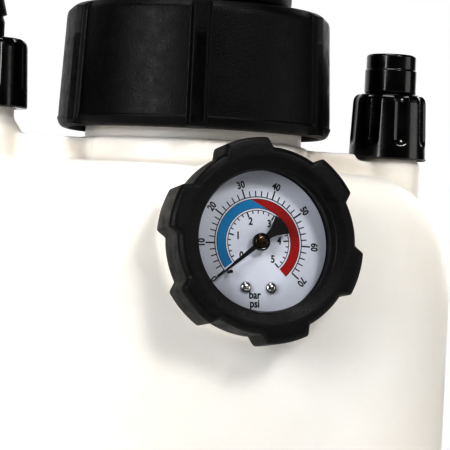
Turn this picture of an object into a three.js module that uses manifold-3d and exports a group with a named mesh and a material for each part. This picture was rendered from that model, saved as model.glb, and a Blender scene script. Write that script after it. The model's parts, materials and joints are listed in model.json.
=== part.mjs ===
// A hand-pumped pressure tank: an oval blow-moulded tank with a plunger pump in its wide neck,
// a 50 mm pressure gauge under a lobed ring nut on its front, a pull-up relief valve on its
// right port and a barbed hose outlet with a dip tube on its left port.
// Millimetres, +Z up, the gauge faces -Y, the origin is the centre of the flat base.
import * as THREE from "three";
import { mergeVertices } from "three/addons/utils/BufferGeometryUtils.js";
import Module from "manifold-3d";

const wasm = await Module();
wasm.setup();

// ---------- driving dimensions ----------
const GAP = 0.3; // between faces that touch
const RUNNING = 0.3; // radial clearance of a piece that turns or slides
const CORE = 0.5; // how far a joined solid sinks into its neighbour
const PAST = 1; // how far a cutter runs past what it cuts

// sides of round pieces and steps of rounded edges
const SIDES = { tiny: 8, pin: 10, hole: 12, small: 16, rod: 20, nut: 24, barrel: 32, neck: 36, tank: 40 };
const STEPS = { edge: 3, shoulder: 6, spring: 30, tube: 24 };

// tank
const TANK_WIDTH = 196;
const TANK_DEPTH = 134;
const DECK_Z = 250; // base to the flat deck
const OVAL_POWER = 2.5; // 2 is an ellipse, more is squarer
const TANK_WALL = 3;
const BASE_RADIUS = 14;
const SHOULDER_RUN = 30; // how far the shoulder comes in, at the side
const SHOULDER_DROP = 44;
const PEDESTAL_STEP = 2.6; // pedestal wider than the neck
const PEDESTAL_H = 9.4;
const PEDESTAL_ROUND = 2;
const WEB_HALF_DEPTH = 9; // the webs tie the pedestal to the port columns
const WEB_H = 8.8;
const WEB_STEP = 1; // web below the top of the relief column
const NECK_R = 39.8;
const NECK_LENGTH = 36.3; // above the pedestal
const THREAD_H = 0.9; // thread crest above its neck
const THREAD_PITCH = 6;
const THREAD_RIDGES = 3;
const THREAD_ROOM = 0.7; // collar's bore outside the crests
const RIDGE_SPREAD = 1.3; // half width of a ridge's foot to its height
const RIDGE_TAPER = 3; // foot to crest
const PORT_X = 78.3; // ports to either side of the axis
const COLUMN_R = 12.5;
const COLUMN_EDGE = 1.2;
const PORT_NECK_R = 10.6;
const PORT_WALL = 2.6;
const RELIEF_COLUMN_H = 7.3; // above the deck
const OUTLET_COLUMN_H = 12.4;
const OUTLET_NECK_SHOWN = 5.2; // bare neck under the outlet nut
const PORT_NECK_L = 16; // neck inside a port nut
const PORT_THREAD_ROOM = 0.5;
const NUT_ROOM = 1; // web to the foot of the nut

// pump
const COLLAR_OVER_NECK = 10.4; // collar's foot outside the neck
const COLLAR_LIFT = 3.3; // collar above the pedestal
const COLLAR_TAPER = 2.1; // radius lost from foot to top
const COLLAR_TOP_WALL = 4.7;
const COLLAR_HOLE_R = 31;
const COLLAR_RIBS = 6;
const COLLAR_RIB_W = 6.2;
const COLLAR_RIB_H = 1.5;
const COLLAR_RIB_TURN = -17.3; // degrees, first rib from the front
const COLLAR_CHAMFER = 3;
const COLLAR_FOOT_EDGE = 1.8;
const COLLAR_ROUND = 3;
const COLLAR_THREAD_WALL = 2.6;
const COLLAR_THREAD_LIFT = 2; // foot of the threaded wall
const COLLAR_SKIRT_WALL = 2.8;
const COLLAR_GROOVE_ROOF = 4;
const COLLAR_RIB_SHORT = 4; // rib shorter than the collar
const COLLAR_RIB_LIFT = 0.6;
const SEAL_T = 2;
const FLANGE_T = 4.4;
const FLANGE_OVER_NECK = 0.6;
const TURRET_R = 28;
const TURRET_H = 13; // above the flange
const BARREL_BORE_R = 20;
const BARREL_WALL = 2;
const BARREL_FOOT_Z = 24; // foot of the pump above the base
const FOOT_FLOOR = 3;
const FOOT_WALL = 2;
const FOOT_EDGE = 1;
const FOOT_GRIP = 9; // wall of the foot around the barrel
const FOOT_HOLES = 6;
const FOOT_HOLE_R = 2;
const FOOT_HOLE_RING_R = 6.5;
const FLAP_R = 10.5;
const FLAP_T = 1.8;
const FLAP_EDGE_T = 0.8;
const FLAP_BOSS_R = 4;
const FLAP_STALK_R = 1.2;
const FLAP_STALK_ROOM = 0.4;
const FLAP_HEAD_R = 2.6;
const FLAP_HEAD_EDGE = 0.6;
const FLAP_HEAD_H = 3;
const ROD_R = 6;
const ROD_END = 2; // rod below the piston's nut
const ROD_BELOW_GRIP = 4;
const PISTON_REST = 10; // piston's nut above the pump's foot, pushed down
const PISTON_H = 14;
const PISTON_CLEARANCE = 1;
const PISTON_NUT_R = 10;
const PISTON_NUT_H = 4.5;
const SEAL_GROOVE_LIFT = 4;
const SEAL_GROOVE_W = 5;
const SEAL_GROOVE_DEPTH = 3;
const SEAL_EDGE = 1.2; // edge of the seal inside the bore
const SEAL_EDGE_W = 1.6;
const GUIDE_L = 24;
const GUIDE_FLANGE_T = 2;
const GUIDE_FLANGE_INSET = 4;
const LUG_W = 9;
const LUG_T = 3;
const LUG_OUT = 2;
const LUG_DROP = 5; // middle of a lug below the turret's top

// handle
const GRIP_LENGTH = 120;
const GRIP_R = 12.5;
const GRIP_LIFT = 34; // grip axis above the turret
const GRIP_END_R = 8.75;
const GRIP_END = 1; // end chamfer
const GRIP_BULGE = 6; // widest place from the end
const GRIP_WAIST = 2; // radius lost
const GRIP_WAIST_AT = 0.62; // of the half length
const GRIP_MIDDLE = 0.6; // radius lost
const GRIP_MIDDLE_AT = 0.3;
const SKIRT_R = 34;
const SKIRT_ROOF = 3;
const SKIRT_EDGE = 5;
const HUB_FOOT_R = 18;
const HUB_FOOT_DROP = 8;
const HUB_R = 15;
const HUB_TOP_R = 12;
const HUB_RISE = 9; // above the grip's axis
const HUB_CROWN = 1.5;
const HANDLE_LIFT = 0.8; // handle above the collar
const HANDLE_HEADROOM = 1.5;
const HANDLE_ROOM = 0.6; // around the turret and its lugs
const LUG_ROOM = 0.5; // groove above and below the lugs
const LUG_SLOT_ROOM = 1; // each side of a lug

// port nuts
const NUT_FOOT_R = 14.8;
const NUT_TOP_R = 13.8;
const NUT_H = 24.6;
const NUT_FLUTES = 8;
const FLUTE_R = 4.5;
const FLUTE_DEPTH = 1;
const FLUTE_FOOT = 5; // flutes start this far above the nut's foot
const FLUTE_TURN = -4; // degrees, first flute from the front
const NUT_TOP_WALL = 4;
const NUT_ROUND = 2.5;
const KNOB_R = 9.9;
const KNOB_H = 14.9;
const KNOB_BAND_R = 9.5;
const KNOB_BAND_H = 5.7;
const KNOB_EDGE = 0.8;
const KNOB_GROOVE = 0.5;
const STEM_R = 2.4;
const STEM_BELOW = 7; // stem below its poppet
const STEM_ABOVE = 9; // stem inside the knob
const SEAT_T = 1.5;
const SEAT_WALL = 1.4;
const SEAT_FLOOR = 3;
const SEAT_BORE_R = 3.6;
const POPPET_DROP = 6; // poppet below the rim of its port
const POPPET_R = 5;
const POPPET_T = 3;
const POPPET_SEAL_R = 5.6;
const POPPET_SEAL_ROOM = 3;
const SPRING_R = 4.2;
const SPRING_WIRE_R = 0.3;
const SPRING_WIRE_SIDES = 5;
const SPRING_TURNS = 3;
const SPRING_END = 0.35; // middle of the wire from the spring's end
const TAIL_R = 5.5;
const TAIL_LENGTH = 30; // hose tail above its nut
const TAIL_BORE_R = 2.5;
const TAIL_BORE_STEP = 1; // narrower bore in the spigot
const TAIL_BORE_CONE = 2;
const TAIL_SHANK = 6; // plain length above the nut
const TAIL_TIP = 1.6;
const BARBS = 3;
const BARB_PITCH = 7;
const BARB_RUN = 22; // first barb below the tip
const BARB_ROOT = 0.8;
const BARB_CREST = 0.6;
const BARB_LENGTH = 6.4;
const SPIGOT_LENGTH = 12;
const OUTLET_GASKET_T = 1.2;
const OUTLET_GASKET_LAP = 1; // inside the port's bore
const DIP_TUBE_R = 4.5;
const DIP_TUBE_WALL = 1.2;
const DIP_TUBE_STOP = 1.5; // tube short of the tail's flange
const DIP_TUBE_END = 6; // foot of the tube above the strainer's
const STRAINER_Z = 8;
const STRAINER_STEP = 2;
const STRAINER_LIP = 1.2;
const STRAINER_FLOOR = 1.5;
const STRAINER_BAND = 8;
const STRAINER_H = 14;
const STRAINER_SLOTS = 3;
const STRAINER_SLOT = { length: 30, width: 1.2, height: 4, lift: 4.2 };

// gauge
const GAUGE_DROP = 24.3; // deck down to the centre of the nut's front face
const GAUGE_REACH = 84.5; // tank axis to that face
const GAUGE_TILT = 7; // degrees, face up
const LOBES = 6;
const LOBE_GAP_OVER_BOSS = 0.9;
const LOBE_EDGE = 0.4; // corner of a lobe below its crest
const LOBE_CREST = [-11, -4, 4, 11]; // degrees from the middle of a lobe
const LOBE_CORNER = 13.5;
const LOBE_FOOT = 16.5;
const LOBE_GAP_TURNS = [23, 30, 37];
const NUT_BACK_EDGE = { in: 0.8, run: 1.4 };
const NUT_FACE_EDGE = { in: 1.2, run: 2 };
const LOBE_RISE = 3.1; // lobes above the gaps between them
const LOBE_TURN = 12.5; // degrees, first lobe left of upright
const GAUGE_NUT_L = 16;
const GAUGE_LIP = 4.2;
const APERTURE_INSET = 2.9; // aperture at the window, inside the bore's radius
const APERTURE_DRAFT = 1.1; // radius gained towards the face
const DISH_DEPTH = 1;
const DISH_W = 3.4;
const BOSS_BEHIND = 4; // boss behind the case
const BOSS_ROOM = 1; // boss to the back of the ring nut
const BOSS_STEP = 2; // boss wider than its threaded neck
const GAUGE_NECK_WALL = 2.3;
const GAUGE_THREAD_H = 0.6;
const GAUGE_PITCH = 3.2;
const GAUGE_RIDGES = 2;
const GAUGE_THREAD_ROOM = 1;
const GAUGE_BORE_R = 26.1;
const CASE_CLEARANCE = 0.4;
const CASE_RIM_INSET = 0.4; // rim inside the neck
const CASE_BEHIND = 2; // room behind the case
const CASE_WALL = 0.8;
const CASE_DEPTH = 25;
const WINDOW_T = 1.5;
const CASE_RIM_T = 1.2;
const GASKET_T = 1.5;
const DIAL_DEPTH = 10.4; // below the nut's front face
const DIAL_T = 0.8;
const ZERO_ANGLE = 219; // pointer at 0, counter-clockwise from +X, seen from the front
const POINTER_INSET = 5.2; // pointer's tip inside the case's radius
const DIAL_HOLE_R = 1.6;
const SCREW_SPACING = 9;
const SCREW = { length: 5, shank: 1, head: 1.9, band: 0.5, crownR: 1.3, shoulder: 1.1, crown: 1.3 };
const SCREW_HOLE_R = 1.3;
const SCREW_HOLE_DEPTH = 6;
const SCREW_INSET = 10.6; // row of screws inside the case's radius
const PIN_INSET = 10.9; // stop pin inside the case's radius
const PIN_R = 0.55;
const PIN_TOP = 3.4; // above the dial
const PIN_TURN = 5; // degrees before the pointer's rest
const GAUGE_STEM_R = 5;
const GAUGE_STEM_L = 13;
const GAUGE_STEM_BORE_R = 1.5;
const GAUGE_STEM_BORE_END = 4; // into the block
const BLOCK_DEPTH = 7;
const TUBE_LIFT = 5; // tube above the back of the block
const TUBE_ACROSS = 3;
const TUBE_ALONG = 1.1;
const TUBE_SIDES = 6;
const TUBE_INSET = 6.2; // pressure tube inside the case's radius
const TUBE_START = -61; // degrees, at the block
const TUBE_END = 195;
const TUBE_CLEARANCE = 1.45; // block to the start of the tube
const PINION_TEETH = 6;
const SECTOR_TEETH = 36; // a full wheel would have this many
const PIVOT_INSET = 15.2; // sector's pivot inside the case's radius
const SECTOR_TURN = 180; // direction of the sector's pivot from the pinion, degrees
const SECTOR_KEPT = 9;
const SECTOR_LEAD = 2.5; // teeth between the line of centres and the arc's middle
const SECTOR_T = 1.2;
const SECTOR_HUB = 1.4; // half width at the pivot
const SECTOR_TAIL = { past: 1, half: 1.1 };
const TOOTH = { root: 1.1, tip: 0.75, sink: 0.3, rootHalf: 0.42, tipHalf: 0.13 };
const PINION_T = 2;
const SPINDLE_R = 0.6;
const SPINDLE_END = 0.4; // past a plate's middle
const SPINDLE_TOP = 3.1; // above the dial
const TAIL_ARM = 5;
const TAIL_PIN = { r: 0.5, foot: 0.2 };
const TAIL_PIN_TOP = 1.6; // above the back of the sector
const LINK_LENGTH = 3;
const LINK_W = 2;
const LINK_T = 0.8;
const LINK_TURN = 215; // degrees
const LINK_HOLE_R = 0.6;
const PLATE_W = 22;
const PLATE_T = 1;
const PLATE_SPACING = 7;
const PLATE_DROP = 3; // front plate behind the front of the block
const PLATE_SHIFT = -3; // plate's middle from the pinion
const PLATE_HEAD = 3.4;
const POST_R = 1;
const POST_X = 6.5;
const POST_HEAD = 1.6; // upper post below the plate's head
const POST_FOOT = 3.1; // lower post above the plate's foot
const ARBOR_HOLE_R = 1;
const ARBOR_PAST = 2;

// pointer
const POINTER_LIFT = 2.6; // back of the blade above the dial
const POINTER_T = 0.5;
const TIP_HALF = 0.2;
const WAIST = { x: 2, half: 0.75, tailHalf: 1 };
const POINTER_NECK = { x: 5.5, half: 1.3 };
const POINTER_TAIL = { x: 10.2, half: 3.2, r: 10.7, turn: 0.3 };
const POINTER_HUB = { r: 2.9, back: 0.6, front: 0.9 };
const POINTER_BORE = { room: 0.2, end: 0.6 };
const POINTER_CAP = { r: 2.2, back: 1, front: 1.4 };

// ---------- sizes that follow ----------
const PEDESTAL_R = NECK_R + PEDESTAL_STEP;
const COLLAR_R = NECK_R + COLLAR_OVER_NECK;
const PEDESTAL_Z = DECK_Z + PEDESTAL_H;
const RIM_Z = PEDESTAL_Z + NECK_LENGTH;
const FLANGE_Z = RIM_Z + GAP + SEAL_T + GAP;
const COLLAR_Z = PEDESTAL_Z + COLLAR_LIFT;
const COLLAR_CEILING_Z = FLANGE_Z + FLANGE_T + GAP;
const COLLAR_H = COLLAR_CEILING_Z + COLLAR_TOP_WALL - COLLAR_Z;
const TURRET_Z = FLANGE_Z + FLANGE_T + TURRET_H;
const GRIP_Z = TURRET_Z + GRIP_LIFT;
const BARREL_R = BARREL_BORE_R + BARREL_WALL;
const GAUGE_Z = DECK_Z - GAUGE_DROP;
const GAUGE_NECK_R = GAUGE_BORE_R + GAUGE_NECK_WALL;
const BOSS_R = GAUGE_NECK_R + BOSS_STEP;
const LOBE_GAP_R = BOSS_R + LOBE_GAP_OVER_BOSS;
const LOBE_R = LOBE_GAP_R + LOBE_RISE;
const APERTURE_R = GAUGE_BORE_R - APERTURE_INSET;
const CASE_R = GAUGE_BORE_R - CASE_CLEARANCE;
const POINTER_L = CASE_R - POINTER_INSET;
const SCREW_DROP = CASE_R - SCREW_INSET;
const TUBE_R = CASE_R - TUBE_INSET;
const PIVOT_R = CASE_R - PIVOT_INSET;
const MODULE = (2 * PIVOT_R) / (PINION_TEETH + SECTOR_TEETH);

// ---------- materials ----------
const paint = (color, roughness, metalness = 0) =>
  new THREE.MeshStandardMaterial({ color, roughness, metalness });
const MILKY = paint(0xe9e5da, 0.45);
const BLACK = paint(0x151516, 0.5);
const GLOSS_BLACK = paint(0x101011, 0.25);
const RUBBER = paint(0x1c1c1c, 0.85);
const STEEL = paint(0xb9bcc0, 0.3, 1);
const BRASS = paint(0xb08d4c, 0.35, 1);
const WHITE = paint(0xe6e9f4, 0.5);
const CLEAR = paint(0xf2f6fa, 0.05);
const BARREL_GREY = paint(0xc9ccce, 0.5);

// ---------- shape helpers ----------
const rad = THREE.MathUtils.degToRad;

// A three.js geometry as a manifold-3d solid.
function solid(geometry) {
  const bare = geometry.clone();
  bare.deleteAttribute("normal");
  bare.deleteAttribute("uv");
  const merged = mergeVertices(bare.index ? bare.toNonIndexed() : bare, 1e-4);
  const kept = [];
  const index = merged.index.array;
  for (let i = 0; i < index.length; i += 3) {
    const [a, b, c] = [index[i], index[i + 1], index[i + 2]];
    if (a !== b && b !== c && a !== c) kept.push(a, b, c);
  }
  return new wasm.Manifold(
    new wasm.Mesh({
      numProp: 3,
      vertProperties: merged.attributes.position.array,
      triVerts: new Uint32Array(kept),
    }),
  );
}

function geometryOf(made) {
  const mesh = made.getMesh();
  return new THREE.BufferGeometry()
    .setAttribute("position", new THREE.BufferAttribute(mesh.vertProperties, 3))
    .setIndex(new THREE.BufferAttribute(mesh.triVerts, 1));
}

const join = (first, ...rest) =>
  geometryOf(rest.reduce((sum, g) => sum.add(solid(g)), solid(first)));
const cut = (first, ...rest) =>
  geometryOf(rest.reduce((sum, g) => sum.subtract(solid(g)), solid(first)));
const common = (a, b) => geometryOf(solid(a).intersect(solid(b)));

// A solid turned about +Z from a closed outline of [radius, z] points, in either direction.
function turned(outline, segments = SIDES.small) {
  const points = outline.map(([r, z]) => new THREE.Vector2(r, z));
  points.push(points[0].clone());
  if (THREE.ShapeUtils.area(points) < 0) points.reverse();
  return new THREE.LatheGeometry(points, segments).rotateX(Math.PI / 2);
}

// A ring or, with no inner radius, a disc between two heights.
function ring(outer, inner, z0, z1, segments = SIDES.small) {
  return turned([[inner, z0], [outer, z0], [outer, z1], [inner, z1]], segments);
}

function box(width, depth, height, x = 0, y = 0, z = 0) {
  return new THREE.BoxGeometry(width, depth, height).translate(x, y, z);
}

// Points of a quarter ellipse from [r + run, z] up and in to [r, z + rise].
function shoulder(r, z, run, rise, steps) {
  return Array.from({ length: steps + 1 }, (_, i) => {
    const turn = (i / steps) * (Math.PI / 2);
    return [r + run * Math.cos(turn), z + rise * Math.sin(turn)];
  });
}

// A quarter round of the given radius that ends a wall at [r, z].
const rounded = (r, z, round) => shoulder(r - round, z - round, round, round, STEPS.edge);

const spun = (make, count, start = 0) =>
  Array.from({ length: count }, (_, i) => make().rotateZ(rad(start + (i * 360) / count)));

const group = new THREE.Group();
function add(name, geometry, material, parent = group) {
  const mesh = new THREE.Mesh(geometry, material);
  mesh.name = name;
  parent.add(mesh);
  return mesh;
}

// The gauge's own frame: +Z out of its face, +Y up its dial.
const gauge = new THREE.Group();
gauge.position.set(0, -GAUGE_REACH, GAUGE_Z);
gauge.rotation.x = rad(90 - GAUGE_TILT);
gauge.updateMatrixWorld(true);
group.add(gauge);
const fromGauge = (geometry) => geometry.clone().applyMatrix4(gauge.matrixWorld);

// ---------- tank ----------
const CASE_RIM_Z = -(GAUGE_LIP + GAP + WINDOW_T + GAP);
const GASKET_Z = CASE_RIM_Z - CASE_RIM_T - GAP;
const GAUGE_RIM_Z = GASKET_Z - GASKET_T - GAP;
const BOSS_Z = -(GAUGE_NUT_L + BOSS_ROOM);

// A turned body whose round plan is drawn out to the tank's oval.
function oval(outline, halfWidth, halfDepth, segments) {
  const geometry = turned(outline, segments);
  const at = geometry.attributes.position;
  const drawn = (c) => Math.sign(c) * Math.abs(c) ** (2 / OVAL_POWER);
  for (let i = 0; i < at.count; i++) {
    const r = Math.hypot(at.getX(i), at.getY(i));
    if (r < 1e-6) continue;
    at.setX(i, r * drawn(at.getX(i) / r));
    at.setY(i, ((r * halfDepth) / halfWidth) * drawn(at.getY(i) / r));
  }
  return geometry;
}

function tankBody(inset) {
  const half = TANK_WIDTH / 2 - inset;
  const top = DECK_Z - inset;
  const foot = BASE_RADIUS - inset;
  const outline = [
    [0, inset],
    ...shoulder(half - foot, inset + foot, foot, -foot, STEPS.edge).reverse(),
    ...shoulder(half - SHOULDER_RUN, top - SHOULDER_DROP, SHOULDER_RUN, SHOULDER_DROP, STEPS.shoulder),
    [0, top],
  ];
  return oval(outline, half, TANK_DEPTH / 2 - inset, inset ? SIDES.barrel : SIDES.tank);
}

// Outline points of thread ridges up a neck, the last one a pitch below the rim.
function ridges(radius, rim, pitch, count, crest) {
  return Array.from({ length: count }, (_, i) => {
    const z = rim - (count - i) * pitch;
    const half = crest * RIDGE_SPREAD;
    return [
      [radius, z - half],
      [radius + crest, z - half / RIDGE_TAPER],
      [radius + crest, z + half / RIDGE_TAPER],
      [radius, z + half],
    ];
  }).flat();
}

function port(x, columnTop, neckTop) {
  const low = DECK_Z - SHOULDER_DROP;
  const outside = turned([
    [0, low],
    [COLUMN_R, low],
    [COLUMN_R, columnTop - COLUMN_EDGE],
    [COLUMN_R - COLUMN_EDGE, columnTop],
    [PORT_NECK_R, columnTop],
    [PORT_NECK_R, neckTop],
    [0, neckTop],
  ]);
  return outside.translate(x, 0, 0);
}

const RELIEF_NUT_Z = DECK_Z + RELIEF_COLUMN_H + GAP;
const RELIEF_RIM_Z = RELIEF_NUT_Z + PORT_NECK_L;
const OUTLET_NUT_Z = DECK_Z + OUTLET_COLUMN_H + OUTLET_NECK_SHOWN;
const OUTLET_RIM_Z = OUTLET_NUT_Z + PORT_NECK_L;
const PORT_BORE_R = PORT_NECK_R - PORT_WALL;

function tank() {
  const pedestal = turned(
    [
      [0, DECK_Z - CORE],
      [PEDESTAL_R, DECK_Z - CORE],
      ...rounded(PEDESTAL_R, PEDESTAL_Z, PEDESTAL_ROUND),
      [NECK_R, PEDESTAL_Z],
      ...ridges(NECK_R, RIM_Z, THREAD_PITCH, THREAD_RIDGES, THREAD_H),
      [NECK_R, RIM_Z],
      [0, RIM_Z],
    ],
    SIDES.neck,
  );
  const web = (reach, height) =>
    box(Math.abs(reach), 2 * WEB_HALF_DEPTH, height + CORE, reach / 2, 0, DECK_Z + (height - CORE) / 2);
  const bossEnd = CASE_RIM_Z - CASE_DEPTH - BOSS_BEHIND;
  const boss = fromGauge(
    turned(
      [
        [0, bossEnd],
        [BOSS_R, bossEnd],
        [BOSS_R, BOSS_Z],
        [GAUGE_NECK_R, BOSS_Z],
        ...ridges(GAUGE_NECK_R, GAUGE_RIM_Z, GAUGE_PITCH, GAUGE_RIDGES, GAUGE_THREAD_H),
        [GAUGE_NECK_R, GAUGE_RIM_Z],
        [0, GAUGE_RIM_Z],
      ],
      SIDES.barrel,
    ),
  );
  const outside = join(
    tankBody(0),
    pedestal,
    web(-PORT_X, WEB_H),
    web(PORT_X - NUT_FOOT_R - NUT_ROOM, WEB_H),
    web(PORT_X, RELIEF_COLUMN_H - WEB_STEP),
    port(PORT_X, DECK_Z + RELIEF_COLUMN_H, RELIEF_RIM_Z),
    port(-PORT_X, DECK_Z + OUTLET_COLUMN_H, OUTLET_RIM_Z),
    boss,
  );
  const low = DECK_Z - SHOULDER_DROP / 2;
  const neckBore = ring(NECK_R - TANK_WALL, 0, low, RIM_Z + PAST, SIDES.neck);
  const reliefBore = ring(PORT_BORE_R, 0, low, RELIEF_RIM_Z + PAST).translate(PORT_X, 0, 0);
  const outletBore = ring(PORT_BORE_R, 0, low, OUTLET_RIM_Z + PAST).translate(-PORT_X, 0, 0);
  const caseEnd = CASE_RIM_Z - CASE_DEPTH;
  const gaugeBore = fromGauge(ring(GAUGE_BORE_R, 0, caseEnd - CASE_BEHIND, 0, SIDES.barrel));
  return cut(outside, tankBody(TANK_WALL), neckBore, reliefBore, outletBore, gaugeBore);
}
add("tank", tank(), MILKY);

// ---------- pump: barrel, foot valve, guide ----------
const BARREL_END_Z = BARREL_FOOT_Z + FOOT_FLOOR + GAP;
const FOOT_WALL_TOP_Z = BARREL_END_Z + FOOT_GRIP;

function pumpBarrel() {
  const flangeR = NECK_R + FLANGE_OVER_NECK;
  const shell = turned(
    [
      [BARREL_BORE_R, BARREL_END_Z],
      [BARREL_R, BARREL_END_Z],
      [BARREL_R, FLANGE_Z],
      [flangeR, FLANGE_Z],
      [flangeR, FLANGE_Z + FLANGE_T],
      [TURRET_R, FLANGE_Z + FLANGE_T],
      [TURRET_R, TURRET_Z],
      [BARREL_BORE_R, TURRET_Z],
    ],
    SIDES.barrel,
  );
  const out = TURRET_R + LUG_OUT;
  const middle = TURRET_Z - LUG_DROP;
  const lugs = common(
    box(LUG_W, 2 * out, LUG_T, 0, 0, middle),
    ring(out, TURRET_R - PAST, middle - LUG_T, middle + LUG_T, SIDES.barrel),
  );
  return join(shell, lugs);
}
add("pump_barrel", pumpBarrel(), BARREL_GREY);
add("barrel_seal", ring(NECK_R, NECK_R - TANK_WALL, RIM_Z + GAP, RIM_Z + GAP + SEAL_T, SIDES.barrel), RUBBER);

function barrelFoot() {
  const inner = BARREL_R + GAP;
  const outer = inner + FOOT_WALL;
  const floor = BARREL_FOOT_Z + FOOT_FLOOR;
  const cup = turned(
    [
      [0, BARREL_FOOT_Z],
      [outer - FOOT_EDGE, BARREL_FOOT_Z],
      [outer, BARREL_FOOT_Z + FOOT_EDGE],
      [outer, FOOT_WALL_TOP_Z],
      [inner, FOOT_WALL_TOP_Z],
      [inner, floor],
      [0, floor],
    ],
    SIDES.barrel,
  );
  const through = (r, sides) => ring(r, 0, BARREL_FOOT_Z - PAST, floor + PAST, sides);
  const hole = () => through(FOOT_HOLE_R, SIDES.tiny).translate(FOOT_HOLE_RING_R, 0, 0);
  return cut(cup, through(FLAP_STALK_R + FLAP_STALK_ROOM, SIDES.hole), ...spun(hole, FOOT_HOLES));
}
add("barrel_foot", barrelFoot(), BLACK);

function footValveFlap() {
  const top = BARREL_FOOT_Z - GAP;
  return turned([
    [0, top - FLAP_T],
    [FLAP_BOSS_R, top - FLAP_T],
    [FLAP_R, top - FLAP_EDGE_T],
    [FLAP_R, top],
    [FLAP_STALK_R, top],
    [FLAP_STALK_R, BARREL_END_Z],
    [FLAP_HEAD_R, BARREL_END_Z + FLAP_HEAD_EDGE],
    [0, BARREL_FOOT_Z + FOOT_FLOOR + FLAP_HEAD_H],
  ]);
}
add("foot_valve_flap", footValveFlap(), RUBBER);

const GUIDE_TOP_Z = TURRET_Z + GAP + GUIDE_FLANGE_T;

function rodGuide() {
  const bore = ROD_R + RUNNING;
  const body = BARREL_BORE_R - GAP;
  const flange = TURRET_R - GUIDE_FLANGE_INSET;
  return turned([
    [bore, TURRET_Z - GUIDE_L],
    [body, TURRET_Z - GUIDE_L],
    [body, TURRET_Z + GAP],
    [flange, TURRET_Z + GAP],
    [flange, GUIDE_TOP_Z],
    [bore, GUIDE_TOP_Z],
  ]);
}
add("rod_guide", rodGuide(), BLACK);

// ---------- pump: collar ----------
function pumpCollar() {
  const boreR = NECK_R + THREAD_H + THREAD_ROOM;
  const threadR = boreR + COLLAR_THREAD_WALL;
  const topR = COLLAR_R - COLLAR_TAPER;
  const top = COLLAR_Z + COLLAR_H;
  const threadFoot = COLLAR_Z + COLLAR_THREAD_LIFT;
  const grooveTop = COLLAR_CEILING_Z - COLLAR_GROOVE_ROOF;
  const shell = turned(
    [
      [boreR, threadFoot],
      [threadR, threadFoot],
      [threadR, grooveTop],
      [topR - COLLAR_SKIRT_WALL, grooveTop],
      [COLLAR_R - COLLAR_CHAMFER, COLLAR_Z + COLLAR_CHAMFER],
      [COLLAR_R - COLLAR_CHAMFER, COLLAR_Z],
      [COLLAR_R - COLLAR_FOOT_EDGE, COLLAR_Z],
      [COLLAR_R, COLLAR_Z + COLLAR_CHAMFER],
      ...rounded(topR, top, COLLAR_ROUND),
      [COLLAR_HOLE_R, top],
      [COLLAR_HOLE_R, COLLAR_CEILING_Z],
      [boreR, COLLAR_CEILING_Z],
    ],
    SIDES.tank,
  );
  const lean = Math.atan2(COLLAR_TAPER, COLLAR_H);
  const length = COLLAR_H - COLLAR_RIB_SHORT;
  const rib = () =>
    box(COLLAR_RIB_W, 2 * COLLAR_RIB_H, length)
      .rotateX(-lean)
      .translate(0, -(COLLAR_R - COLLAR_TAPER / 2), COLLAR_Z + length / 2 + COLLAR_RIB_LIFT);
  return join(shell, ...spun(rib, COLLAR_RIBS, COLLAR_RIB_TURN));
}
add("pump_collar", pumpCollar(), BLACK);

// ---------- pump: plunger ----------
const PISTON_NUT_Z = BARREL_FOOT_Z + PISTON_REST;
const PISTON_Z = PISTON_NUT_Z + PISTON_NUT_H + GAP;
const ROD_TOP_Z = GRIP_Z - ROD_BELOW_GRIP;
const PISTON_R = BARREL_BORE_R - PISTON_CLEARANCE;
const GROOVE_R = PISTON_R - SEAL_GROOVE_DEPTH;
const GROOVE_Z = PISTON_Z + SEAL_GROOVE_LIFT;
const GROOVE_TOP_Z = GROOVE_Z + SEAL_GROOVE_W;

add("plunger_rod", ring(ROD_R, 0, PISTON_NUT_Z - ROD_END, ROD_TOP_Z, SIDES.rod), STEEL);

function piston() {
  return turned([
    [ROD_R + GAP, PISTON_Z],
    [PISTON_R, PISTON_Z],
    [PISTON_R, GROOVE_Z],
    [GROOVE_R, GROOVE_Z],
    [GROOVE_R, GROOVE_TOP_Z],
    [PISTON_R, GROOVE_TOP_Z],
    [PISTON_R, PISTON_Z + PISTON_H],
    [ROD_R + GAP, PISTON_Z + PISTON_H],
  ]);
}
add("piston", piston(), WHITE);

function pistonSeal() {
  const edge = BARREL_BORE_R - SEAL_EDGE;
  const face = BARREL_BORE_R - GAP;
  return turned([
    [GROOVE_R + GAP, GROOVE_Z + GAP],
    [edge, GROOVE_Z + GAP],
    [face, GROOVE_Z + SEAL_EDGE_W],
    [face, GROOVE_TOP_Z - SEAL_EDGE_W],
    [edge, GROOVE_TOP_Z - GAP],
    [GROOVE_R + GAP, GROOVE_TOP_Z - GAP],
  ]);
}
add("piston_seal", pistonSeal(), RUBBER);

function pistonNut() {
  const top = PISTON_NUT_Z + PISTON_NUT_H;
  const hexagon = ring(PISTON_NUT_R, 0, PISTON_NUT_Z, top, 6);
  return cut(hexagon, ring(ROD_R + GAP, 0, PISTON_NUT_Z - PAST, top + PAST));
}
add("piston_nut", pistonNut(), STEEL);

// ---------- pump: handle ----------
function grip() {
  const half = GRIP_LENGTH / 2;
  const right = [
    [GRIP_R - GRIP_MIDDLE, half * GRIP_MIDDLE_AT],
    [GRIP_R - GRIP_WAIST, half * GRIP_WAIST_AT],
    [GRIP_R, half - GRIP_BULGE],
    [GRIP_END_R, half - GRIP_END],
    [0, half],
  ];
  const left = right.map(([r, x]) => [r, -x]).reverse();
  return turned([...left, ...right])
    .rotateY(Math.PI / 2)
    .translate(0, 0, GRIP_Z);
}

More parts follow.
